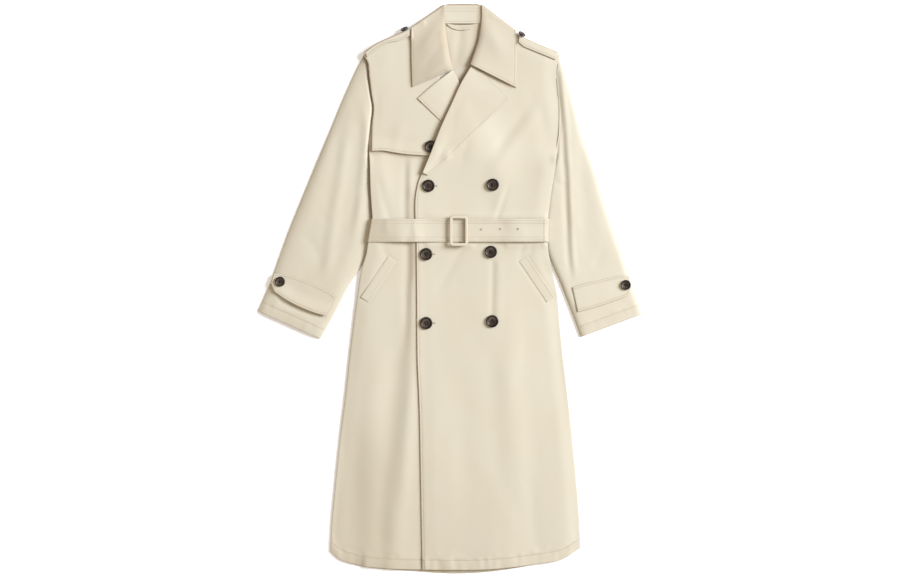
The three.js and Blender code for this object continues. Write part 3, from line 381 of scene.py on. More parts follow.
# Buttons on the shoulder straps: middle in plan, and the direction in which the face looks
SHOULDER_BUTTONS = (
    ("button_shoulder_right", -98.2, 556.6, -0.45, 0.89),
    ("button_shoulder_left", 153.0, 546.0, 0.55, 0.83),
)


# A crease also lays a band of painted shade; its height is then the share of the seam's colour
@dataclass(frozen=True)
class Crease:
    """A soft fold along a path in plan."""

    path: tuple[tuple[float, float], ...]
    width: float
    height: float
    # shares of the path over which it rises at its start and fades at its end
    start: float = 0.3
    end: float = 0.35
    fold: Fold = Fold.ROUND

    def at(self, plan: Array) -> Array:
        """Returns the height that the crease adds at points in plan.

        Args:
            plan: points, with x and y on the last axis.

        Returns:
            One height in millimetres for each point.
        """
        line = Line(self.path)
        nodes = line.at(np.linspace(0, 1, 25 if len(self.path) < 6 else 61))
        flat = plan.reshape(-1, 2)
        near = np.full(len(flat), np.inf)
        signed = np.zeros(len(flat))
        share = np.zeros(len(flat))
        for k in range(len(nodes) - 1):
            a = nodes[k]
            run = nodes[k + 1] - a
            t = np.clip(((flat - a) @ run) / (run @ run), 0, 1)
            off = flat - a - t[:, None] * run
            distance = np.hypot(off[:, 0], off[:, 1])
            nearer = distance < near
            near[nearer] = distance[nearer]
            across = np.array((-run[1], run[0])) * (1.0 if run[1] < 0 else -1.0)
            signed[nearer] = (np.sign(off @ across) * distance)[nearer]
            share[nearer] = ((k + t) / (len(nodes) - 1))[nearer]
        s = signed / self.width
        bell = np.exp(-(s * s))
        profile = bell if self.fold is Fold.ROUND else 2.33 * s * bell
        rise = smooth(share / self.start) if self.start > 0 else 1.0
        fade = smooth((1 - share) / self.end) if self.end > 0 else 1.0
        return (self.height * profile * rise * fade).reshape(plan.shape[:-1])


@dataclass(frozen=True)
class Ripple:
    """Smooth uneven waves over the plan, the same in each run."""

    seed: int
    length: float
    height: float
    stretch: float = 1.0

    def at(self, plan: Array) -> Array:
        """Returns the height of the waves at points in plan, in millimetres."""
        table = np.random.default_rng(self.seed).normal(0.0, 1.0, (64, 64))
        u = plan[..., 0] / self.length + 31.0
        v = plan[..., 1] / (self.length * self.stretch) + 31.0
        i = np.floor(u).astype(int)
        j = np.floor(v).astype(int)
        a = smooth(u - i)
        b = smooth(v - j)
        i %= 64
        j %= 64
        i2 = (i + 1) % 64
        j2 = (j + 1) % 64
        low = table[j, i] * (1 - a) + table[j, i2] * a
        high = table[j2, i] * (1 - a) + table[j2, i2] * a
        return self.height * (low * (1 - b) + high * b)


Relief = Crease | Ripple | Pocket

RIGHT_FRONT_FOLDS: tuple[Relief, ...] = (
    Crease(((-90, 300), (-92, 235), (-92, 150)), 8, 1.0, 0.4, 0.0, Fold.FLANK),
    Crease(((-84, 215), (-86, 150)), 4.5, -1.0, 0.5, 0.0),
    Crease(((-78, 300), (-80, 235), (-80, 150)), 14, 1.0, 0.3, 0.0),
    Crease(((-86, 102), (-88, 20), (-90, -89), (-96, -165)), 9, 1.4, 0.0, 0.5, Fold.FLANK),
    Crease(
        ((-90, -60), (-98, -175), (-114, -325), (-130, -480), (-138, -600)),
        26, 1.5, 0.3, 0.0, Fold.FLANK,
    ),
    Crease(((-166, -230), (-176, -400), (-186, -560)), 50, 2.3, 0.5, 0.0, Fold.FLANK),
    Crease(((-84, 102), (-86, 40), (-88, -30)), 4.5, -1.1, 0.0, 0.6),
    Crease(((-75, 102), (-77, -89), (-82, -175), (-94, -325), (-104, -500)), 13, 1.1, 0.0, 0.2),
    Crease(((-158, 266), (-149, 212), (-132, 152)), 8, -0.8, 0.4, 0.0),
    Crease(((-148, 100), (-139, 75), (-125, 55)), 7, -0.7, 0.0, 0.5),
    Crease(((-150, -60), (-160, -190), (-180, -380), (-190, -540)), 26, 1.0),
    Crease(((-190, -120), (-204, -300), (-222, -500)), 20, -0.8),
    Crease(((-140, -330), (-146, -430), (-150, -560)), 16, -0.5, 0.4, 0.1),
    Ripple(3, 70, 0.45, 2.2),
    Ripple(4, 24, 0.08, 1.6),
    POCKETS[0],
)
LEFT_FRONT_FOLDS: tuple[Relief, ...] = (
    Crease(((92, 66), (91, 20), (89.5, -58)), 5.5, -1.0, 0.1, 0.0),
    Crease(((104, 66), (103, 0), (102, -90)), 10, 0.7, 0.1, 0.3),
    Crease(((86, -85), (88, -140), (98, -300), (110, -470)), 24, -0.9),
    Crease(((118, -60), (124, -160), (140, -320), (156, -500)), 26, 0.8),
    Crease(((100, 150), (117, 197), (133, 240)), 5, -0.8, 0.0, 0.6),
    Crease(((90, 150), (106, 197), (122, 246)), 8, 0.6, 0.0, 0.6),
    Crease(((77, 262), (107, 307), (137, 350), (186, 412)), 11, -0.8),
    Crease(((92, 250), (124, 296), (154, 338), (204, 400)), 12, 0.7),
    Crease(((42, 330), (30, 295), (19, 258)), 9, -0.6),
    Crease(((29, 95), (-5, 33), (-40, -28)), 9, -0.7, 0.05, 0.5),
    Crease(((158, 98), (152, 78), (145, 55)), 5, -0.6, 0.0, 0.6),
    Crease(((177, 98), (172, 78), (164, 55)), 5, -0.5, 0.0, 0.6),
    Crease(((-30, -110), (-22, -300), (-28, -540)), 36, 0.7),
    Crease(((22, -160), (30, -330), (36, -540)), 26, -0.7),
    Crease(((205, -60), (222, -300), (240, -520)), 26, -0.5),
    Crease(((170, -380), (178, -470), (186, -570)), 15, -0.7, 0.4, 0.1),
    Crease(((190, 420), (205, 330), (200, 250)), 14, -0.8),
    Crease(((-58, 93), (0, 95), (56, 94)), 7, 1.5, 0.1, 0.1),
    Crease(((114, 94), (160, 94), (208, 96)), 7, 1.5, 0.1, 0.0),
    Crease(((-58, 157), (60, 157), (208, 155)), 7, 1.2, 0.1, 0.0),
    Ripple(7, 80, 0.35, 2.2),
    Ripple(8, 26, 0.07, 1.6),
    POCKETS[1],
)
BACK_FOLDS: tuple[Relief, ...] = (
    Crease(((39, 568), (34, 512), (14, 455)), 8, 0.9, 0.1, 0.2),
    Crease(((22, 566), (18, 515), (6, 468)), 7, -0.7, 0.1, 0.3),
    Crease(((6, 562), (4, 530), (0, 500)), 7, 0.5),
    Ripple(11, 60, 0.12, 2.0),
)
# Strips and areas of painted shade, where an upper layer's edge shades the cloth below or where the cloth
# lies in shade; their height is the share of the seam's colour that the cloth takes on
SHADE_UNDER_THE_EDGE = Crease(
    ((56, 500), (38, 472), (21, 443), (4, 406), (-18, 358), (-33, 321), (-47, 284), (-62, 250),
     (-74, 213), (-75, 98)),
    4.5, 0.17, 0.0, 0.0,
)
SHADE_UNDER_CUFF_STRAP = Crease(((-357, -24), (-314, -49), (-273, -60)), 3.6, 0.13, 0.15, 0.1)
LEFT_LAPEL_SHADE = Crease(((20, 400), (60, 420), (110, 420)), 120.0, 0.045, 0.0, 0.0)
LEFT_SKIRT_SHADE = Crease(((70, -300), (60, -480), (50, -640)), 75.0, 0.05, 0.8, 0.0)
SHADE_UNDER_LEFT_LEAF = Crease(((45, 476), (92, 455), (138, 430)), 4.0, 0.2, 0.15, 0.15)
SHADE_UNDER_RIGHT_LEAF = Crease(((-88, 556), (-87, 500), (-85.5, 432)), 4.0, 0.22, 0.1, 0.1)
# Painted shade under the front edges and the storm flap, beside the front edge and over the lower skirt of
# the wearer's right front
RIGHT_FRONT_SHADE: tuple[Crease, ...] = (
    SHADE_UNDER_THE_EDGE,
    Crease(((-168, 293), (-142, 293), (-101, 286.5), (-53, 283), (-20, 282)), 4.5, 0.15, 0.0, 0.0),
    Crease(
        ((-74.5, 98), (-73.5, -24), (-72.5, -153), (-68.5, -248), (-65.5, -407), (-62, -605)),
        4.5, 0.15, 0.0, 0.0,
    ),
    Crease(((-89, 235), (-90.5, 209), (-90.5, 152)), 5.5, 0.12, 0.4, 0.0),
    Crease(((-87, 98), (-84, 61), (-80, -4)), 6, 0.1, 0.0, 0.35),
    Crease(((-84, -36), (-97, -133), (-111, -229)), 12, 0.07, 0.35, 0.5),
    Crease(((-135, -200), (-155, -400), (-165, -620)), 88, 0.085, 0.6, 0.0),
)
# Painted shade behind the collar leaf, under the front's upper edge and over the inside of the neck
SHADE_BEHIND_THE_LEAF = Crease(((64, 612), (62, 590), (61, 568)), 4.5, 0.2, 0.0, 0.0)
BACK_SHADE: tuple[Crease, ...] = (
    SHADE_UNDER_THE_EDGE,
    Crease(((64, 575), (60, 540), (51, 505), (41, 478), (24, 447)), 4.5, 0.26, 0.0, 0.0),
    Crease(((54, 572), (46, 520), (24, 462)), 13, 0.1, 0.0, 0.2),
    Crease(((24, 566), (20, 515), (8, 468)), 6, 0.05, 0.2, 0.3),
    Crease(((6, 562), (10, 520), (4, 470)), 24, 0.035, 0.1, 0.3),
)
RIGHT_SLEEVE_FOLDS: tuple[Relief, ...] = (
    Crease(
        ((-215, 400), (-229, 330), (-241, 247), (-254, 173), (-267, 83), (-279, 5)),
        15, 0.75, 0.3, 0.15, Fold.FLANK,
    ),
    Crease(
        ((-190, 430), (-186, 322), (-196, 225), (-207, 141), (-224, 62)),
        12, 0.75, 0.3, 0.3, Fold.FLANK,
    ),
    Crease(((-250, 370), (-288, 225), (-322, 105)), 18, 1.0),
    Crease(((-168, 236), (-190, 214), (-214, 205)), 8, -0.7, 0.1, 0.6),
    Crease(((-280, 60), (-300, 100), (-330, 120)), 10, -0.6),
    Crease(((-262, -62), (-300, -53), (-345, -36), (-376, -16)), 6, -1.5, 0.15, 0.15),
    Ripple(15, 40, 0.22, 1.8),
    Ripple(16, 15, 0.06),
)
LEFT_SLEEVE_FOLDS: tuple[Relief, ...] = (
    Crease(
        ((232, 478), (239, 412), (245, 348), (250, 249), (255, 133), (260, 57), (267, 5)),
        8, 1.15, 0.05, 0.15, Fold.FLANK,
    ),
    Crease(((249, 300), (252, 209), (254, 140), (259, 80)), 5, -0.7),
    Crease(((264, 400), (267, 209), (270, 140), (278, 40)), 14, 1.1),
    Crease(((300, 290), (318, 170), (342, 60)), 17, 0.6),
    Crease(((222, 236), (240, 222), (256, 216)), 7, -0.5, 0.1, 0.6),
    Crease(((330, 90), (318, 60), (300, 45)), 10, -0.5),
    Ripple(17, 40, 0.22, 1.8),
    Ripple(18, 15, 0.06),
)
RIGHT_LEAF_FOLDS: tuple[Relief, ...] = (
    Crease(((-20, 585), (-42, 545), (-70, 500)), 9, 0.7),
    Crease(((-8, 545), (-34, 505), (-66, 466)), 9, -0.8),
    Crease(((0, 505), (-26, 475), (-60, 448)), 8, 0.8),
    Ripple(21, 30, 0.15),
)
LEFT_LEAF_FOLDS: tuple[Relief, ...] = (
    Crease(((75, 580), (95, 530), (120, 480)), 14, 0.7),
    Ripple(22, 36, 0.14),
)
FLAP_FOLDS: tuple[Relief, ...] = (
    Crease(((-120, 300), (-112, 330), (-100, 370)), 12, 0.7, 0.0, 0.5),
    Crease(((-150, 440), (-140, 400), (-135, 350)), 14, -0.5),
    Ripple(23, 50, 0.2),
)
LAPEL_FOLDS: tuple[Relief, ...] = (Ripple(24, 40, 0.18), Ripple(25, 14, 0.05))
STRIP_FOLDS: tuple[Relief, ...] = (Ripple(26, 34, 0.15), Ripple(27, 12, 0.05))
BELT_FOLDS: tuple[Relief, ...] = (
    Crease(((-104, 165), (-102, 85)), 36, 5.6, 0.0, 0.0),
    Crease(((-138, 152), (-132, 112)), 8, 0.7),
    Crease(((140, 152), (150, 100)), 26, 1.0, 0.0, 0.0),
    Ripple(26, 34, 0.2),
    Ripple(27, 12, 0.06),
)


# Plans of the pieces


@dataclass(frozen=True)
class Edging:
    """Finish of an edge: rows of stitches, width of its turn, waves of its sewing and depth of its rim, which
    also sets the painted shade along the edge.
    """

    seams: tuple[float, ...] = ()
    turn: float = 1.5
    pucker: float = 0.0
    # depth by which the edge is drawn down, also the share of painted shade at the very edge
    rim: float = 0.3

    def offsets(self) -> Array:
        """Returns the distances from the edge at which the mesh has a line."""
        places = [0.0, 0.35 * self.turn, self.turn]
        for seam in self.seams:
            places.extend((seam - 1.2, seam, seam + 1.2))
        return np.array(sorted(places))

    def column(self, seam: float) -> int:
        """Returns the index of the line of a row of stitches, counted from the edge."""
        return int(np.argmin(np.abs(self.offsets() - seam)))


PLAIN = Edging()
STITCHED = Edging((TOPSTITCH,), pucker=0.1)
TWICE = Edging((4.0, 10.0), pucker=0.06)
HEMMED = Edging((HEM_STITCH,), pucker=0.75)
PUCKER_WAVES = Ripple(41, 9.0, 1.0)


def stations(lengths: Array, step: float, near: Edging, far: Edging, count: int = 0) -> Array:
    """Places mesh lines across spans: close together at the ends, as their finish needs, even between.

    Args:
        lengths: length of each span.
        step: spacing between the ends.
        near: finish at the start of the spans.
        far: finish at their end.
        count: number of even steps, or 0 to work it out from the longest span.

    Returns:
        An array of shares with one row for each span.
    """
    first = near.offsets()
    last = far.offsets()[::-1]
    room = first[-1] + last[0]
    inner = count or max(2, math.ceil((lengths.max() - room) / step))
    scale = np.minimum(1.0, 0.6 * lengths / room)[:, None]
    begin = first * scale
    finish = lengths[:, None] - last * scale
    t = np.arange(1, inner) / inner
    even = begin[:, -1:] + (finish[:, :1] - begin[:, -1:]) * t
    return np.concatenate((begin, even, finish), axis=1) / lengths[:, None]


@dataclass
class Plan:
    """Mesh of a piece in plan, with the distance of each point from each side."""

    points: Array
    edge: dict[Side, Array]


@dataclass
class Patch:
    """Four-sided piece in plan. Left and right run from the top to the bottom side."""

    left: Line
    right: Line
    top: Line
    bottom: Line

    def at(self, u: Array, v: Array) -> Array:
        """Returns points in plan at shares across and down."""
        across = u[..., None]
        down = v[..., None]
        corner = [side.at(share) for side in (self.top, self.bottom) for share in (0.0, 1.0)]
        ruled = (1 - down) * self.top.at(u) + down * self.bottom.at(u)
        ruled = ruled + (1 - across) * self.left.at(v) + across * self.right.at(v)
        flat = (1 - down) * ((1 - across) * corner[0] + across * corner[1])
        return ruled - flat - down * ((1 - across) * corner[2] + across * corner[3])

    def plan(
        self,
        step: tuple[float, float],
        edges: dict[Side, Edging],
        count: int = 0,
        keep: Iterable[float] = (),
    ) -> Plan:
        """Lays a mesh over the piece.

        Args:
            step: spacing across and down.
            edges: finish of each side.
            count: number of even steps across, or 0 to work it out.
            keep: shares down at which a line of the mesh has to pass.

        Returns:
            The mesh in plan.
        """
        finish = [edges.get(side, PLAIN) for side in (Side.LEFT, Side.RIGHT, Side.TOP, Side.BOTTOM)]
        rough = np.linspace(0, 1, 40)
        width = np.linalg.norm(self.right.at(rough) - self.left.at(rough), axis=1)
        count = count or max(2, math.ceil(width.max() / step[0]))
        u = stations(width, step[0], finish[0], finish[1], count).mean(axis=0)
        samples = self.at(u[None, :].repeat(40, 0), rough[:, None].repeat(len(u), 1))
        height = np.linalg.norm(np.diff(samples, axis=0), axis=2).sum(axis=0)
        v = stations(height, step[1], finish[2], finish[3]).T
        middle = v.mean(axis=1)
        for share in keep:
            v[int(np.argmin(np.abs(middle - share)))] = share
        middle = v.mean(axis=1)
        width = np.linalg.norm(self.right.at(middle) - self.left.at(middle), axis=1)
        u = stations(width, step[0], finish[0], finish[1], count)
        edge = {
            Side.LEFT: u * width[:, None],
            Side.RIGHT: (1 - u) * width[:, None],
            Side.TOP: v * height,
            Side.BOTTOM: (1 - v) * height,
        }
        return Plan(self.at(u, v), edge)

    @classmethod
    def between(cls, left: Any, right: Any, corners: Iterable[int] = ()) -> "Patch":
        """Makes a patch between two rows of points that face each other.

        Args:
            left: points of the left side from the top down.
            right: points of the right side.
            corners: rows at which the right side turns sharply.

        Returns:
            The patch, with straight lines at its top and bottom.
        """
        a = np.asarray(left, dtype=float)
        b = np.asarray(right, dtype=float)
        steps = np.linalg.norm(np.diff(a, axis=0), axis=1) + np.linalg.norm(np.diff(b, axis=0), axis=1)
        knots = np.concatenate(([0.0], np.cumsum(steps))) / steps.sum()
        return cls(Line(a, (), knots), Line(b, corners, knots), Line((a[0], b[0])), Line((a[-1], b[-1])))


def body_side(side: str, top: Sequence[float], corner: Sequence[float]) -> Line:
    """Returns the side edge of a body panel from the shoulder to the hem."""
    rows = BODY.points(side)[1:-1]
    return Line(np.concatenate(([top], rows, [corner])))


class BodyEdge:
    """The x of the body's side edges at any height."""

    def __init__(self, side: str) -> None:
        """Samples the edge from the table of the body."""
        fine = Line(BODY.points(side)).at(np.linspace(0, 1, 1200))[::-1]
        self.x = fine[:, 0]
        self.y = fine[:, 1]

    def at(self, y: Array | float) -> Array:
        """Returns x at heights."""
        return np.interp(y, self.y, self.x)


# Heights of the pieces


def relax(z: Array, rounds: int, floor: Array | None = None) -> Array:
    """Levels a grid of heights by the mean of the neighbours, never below the floor."""
    for _ in range(rounds):
        wide = np.pad(z, 1, mode="edge")
        mean = (wide[:-2, 1:-1] + wide[2:, 1:-1] + wide[1:-1, :-2] + wide[1:-1, 2:]) / 4
        z = 0.4 * z + 0.6 * mean
        if floor is not None:
            z = np.maximum(z, floor)
    return z


class Form:
    """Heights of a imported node, read with straight rays."""

    def __init__(self, node: bpy.types.Object) -> None:
        """Prepares the node's faces.

        Args:
            node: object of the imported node.
        """
        mesh = node.data
        corners = [v.co for v in mesh.vertices]
        self.tree = BVHTree.FromPolygons(corners, [tuple(p.vertices) for p in mesh.polygons])

    def heights(self, plan: Array, above: bool) -> Array:
        """Reads the upper or lower surface at points in plan.

        Args:
            plan: points of the tables' plan.
            above: True for the upper surface.

        Returns:
            Heights in millimetres. Points past the node's outline take their neighbours' height.
        """
        place = (plan - PLAN_MIDDLE) * MM
        start = 0.2 if above else -0.2
        down = Vector((0, 0, -1 if above else 1))
        z = np.full(plan.shape[:2], np.nan)
        for i in range(plan.shape[0]):
            for j in range(plan.shape[1]):
                hit = self.tree.ray_cast(Vector((place[i, j, 0], place[i, j, 1], start)), down)[0]
                if hit is not None:
                    z[i, j] = hit.z / MM
        while np.isnan(z).any():
            wide = np.pad(z, 1, mode="edge")
            around = np.stack((wide[:-2, 1:-1], wide[2:, 1:-1], wide[1:-1, :-2], wide[1:-1, 2:]))
            known = ~np.isnan(around)
            total = np.where(known, around, 0).sum(axis=0)
            mean = np.where(known.any(axis=0), total / np.maximum(known.sum(axis=0), 1), np.nan)
            z = np.where(np.isnan(z), mean, z)
        return z


class Pile:
    """Height of everything laid so far, on square cells."""

    CELL = 2.0
    REACH = 2

    def __init__(self, half_width: float = 470.0, half_length: float = 670.0) -> None:
        """Starts with a bare surface."""
        self.low = np.array((-half_width, -half_length))
        shape = (int(2 * half_length / self.CELL), int(2 * half_width / self.CELL))
        self.top = np.zeros(shape)
        self.wide = np.zeros(shape)

    def cells(self, plan: Array) -> tuple[Array, Array]:
        """Returns row and column of points in plan."""
        place = np.floor((plan - self.low) / self.CELL).astype(int)
        return place[..., 1], place[..., 0]

    def stamp(self, grid: Array, where: Array | None = None) -> None:
        """Lays a grid of points on the pile.

        Args:
            grid: points in millimetres.
            where: True for the squares that count, or None for all.
        """
        corners = (grid[:-1, :-1], grid[:-1, 1:], grid[1:, :-1], grid[1:, 1:])
        longest = max(np.abs(np.diff(grid[..., :2], axis=a)).max() for a in (0, 1))
        parts = max(1, math.ceil(1.5 * longest / self.CELL))
        for a in np.linspace(0, 1, parts + 1):
            for b in np.linspace(0, 1, parts + 1):
                shares = ((1 - a) * (1 - b), (1 - a) * b, a * (1 - b), a * b)
                points = sum(share * corner for share, corner in zip(shares, corners))
                if where is not None:
                    points = points[where]
                row, column = self.cells(points[..., :2])
                np.maximum.at(self.top, (row, column), points[..., 2])
        self.wide = self.top
        for axis in (0, 1):
            shifted = [np.roll(self.wide, k, axis) for k in range(-self.REACH, self.REACH + 1)]
            self.wide = np.maximum.reduce(shifted)

    def floor(self, plan: Array, gap: float = LAY_GAP) -> Array:
        """Returns the lowest height that cloth may have at points in plan, with a gap below it."""
        over = self.top if gap < CLOSE_GAP else self.wide
        place = (plan - self.low) / self.CELL - 0.5
        cell = np.floor(place).astype(int)
        t = place - cell
        i, j = cell[..., 0], cell[..., 1]
        low = over[j, i] * (1 - t[..., 0]) + over[j, i + 1] * t[..., 0]
        high = over[j + 1, i] * (1 - t[..., 0]) + over[j + 1, i + 1] * t[..., 0]
        top = low * (1 - t[..., 1]) + high * t[..., 1]
        return np.where(top > 0.05, top + gap, 0.0)

    def height(self, x: float, y: float) -> float:
        """Returns the height at a place."""
        row, column = self.cells(np.array((x, y)))
        return float(self.top[row, column])

    def near(self, x: float, y: float, reach: float) -> float:
        """Returns the highest point within reach of a place."""
        span = np.arange(-reach, reach + 1, self.CELL)
        places = np.array([(x + dx, y + dy) for dx in span for dy in span if math.hypot(dx, dy) <= reach])
        row, column = self.cells(places)
        return float(self.top[row, column].max())

# Skins of cloth and their meshes


@dataclass
class Skins:
    """The two faces of a piece of cloth over one grid, and how far its sewing pulls the outer one in, which
    is also the share of painted shade at its edges and of its seams' tone.
    """

    outer: Array
    inner: Array
    pull: Array

    def dressed(self) -> Array:
        """Returns the outer face with its edges turned down and its seams drawn in."""
        return self.outer + (self.inner - self.outer) * self.pull[..., None]

    def rows(self, which: slice) -> "Skins":
        """Returns some of the rows."""
        return Skins(self.outer[which], self.inner[which], self.pull[which])

    @staticmethod
    def joined(parts: Sequence["Skins"]) -> "Skins":
        """Joins pieces end to end."""
        grids = zip(*((p.outer, p.inner, p.pull) for p in parts))
        return Skins(*(np.concatenate(grid) for grid in grids))


def pull_of(edge: dict[Side, Array], edges: dict[Side, Edging]) -> Array:
    """Returns how far the finish of the edges draws the outer face in, as a share of the wall, which is also
    the share of painted shade at the edges and of the seams' tone.
    """
    rim = groove = np.zeros(edge[Side.TOP].shape)
    for side in Side:
        finish = edges.get(side, PLAIN)
        distance = edge[side]
        rim = np.maximum(rim, finish.rim * (1 - np.sin(np.pi / 2 * np.minimum(1, distance / finish.turn))))
        for seam in finish.seams:
            groove = np.maximum(groove, GROOVE_DEPTH * np.exp(-(((distance - seam) / GROOVE_WIDTH) ** 2)))
    return np.maximum(rim, groove)


def pucker_of(plan: Plan, edges: dict[Side, Edging]) -> Array:
    """Returns the small uneven waves along the stitched edges, in millimetres."""
    waves = PUCKER_WAVES.at(plan.points)
    total = np.zeros(waves.shape)
    for side, finish in edges.items():
        for seam in finish.seams[:1]:
            if finish.pucker:
                near = np.exp(-(((plan.edge[side] - 0.6 * seam) / (0.7 * seam + 3)) ** 2))
                total = total + finish.pucker * near * waves
    return total


def folded(z: Array, folds: Iterable[Relief], points: Array, share: Array | float = 1.0) -> Array:
    """Adds folds to heights.

    Args:
        z: the heights.
        folds: creases and ripples.
        points: points in plan.
        share: how much of each fold counts at each point.

    Returns:
        The new heights.
    """
    for fold in folds:
        z = z + fold.at(points) * share
    return z


def turn_between(front: Skins, back: Skins, outward: Array, gap: float, wall: float) -> Skins:
    """Folds cloth round an edge, from the last row of one piece to the first row of the next.

    Args:
        front: piece on top, whose outer face is up.
        back: piece below, whose outer face is down.
        outward: direction in plan in which the fold stands out.
        gap: air between the fold and what it goes round.
        wall: thickness of the cloth.

    Returns:
        The rows of the turn.
    """
    grids: list[list[Array]] = [[], []]
    ends = ((front.outer[-1], back.outer[0], gap + wall), (front.inner[-1], back.inner[0], gap))
    for k in range(1, TURN_ROWS + 1):
        angle = math.pi * k / (TURN_ROWS + 1)
        t = (1 - math.cos(angle)) / 2
        swell = math.sin(angle) ** 0.7
        for grid, (a, b, reach) in zip(grids, ends):
            row = a * (1 - t) + b * t
            row[:, :2] += outward * reach * swell
            grid.append(row)
    return Skins(np.stack(grids[0]), np.stack(grids[1]), np.repeat(front.pull[-1:], TURN_ROWS, axis=0))


def turn_up(back: Skins, front: Skins, outward: Array, gap: float, wall: float) -> Skins:
    """Folds cloth round an edge, from the last row of the piece below to the first row of the one on top.

    Args:
        back: piece below.
        front: piece on top.
        outward: direction in plan in which the fold stands out.
        gap: air between the fold and what it goes round.
        wall: thickness of the cloth.

    Returns:
        The rows of the turn.
    """
    made = turn_between(front.rows(slice(0, 1)), back.rows(slice(-1, None)), outward, gap, wall)
    return made.rows(slice(None, None, -1))


def volume_of(points: Array, faces: Array) -> float:
    """Returns the volume that four-sided faces enclose, negative where they look inwards."""
    a, b, c, d = (points[faces[:, k]] for k in range(4))
    return float((np.cross(a, b) * c + np.cross(a, c) * d).sum() / 6)


def quads(*corners: Array) -> Array:
    """Returns four-sided faces from four grids of corner indices."""
    return np.stack(corners, axis=-1).reshape(-1, 4)


def ring_faces(at: Array) -> Array:
    """Returns the faces between rings of points, whose indices are the rows of a grid."""
    beside = np.roll(at, -1, axis=1)
    return quads(at[:-1], beside[:-1], beside[1:], at[1:])


def lengths_along(path: Array) -> Array:
    """Returns the length of a path up to each of its points."""
    return np.concatenate(([0.0], np.cumsum(np.linalg.norm(np.diff(path, axis=0), axis=1))))


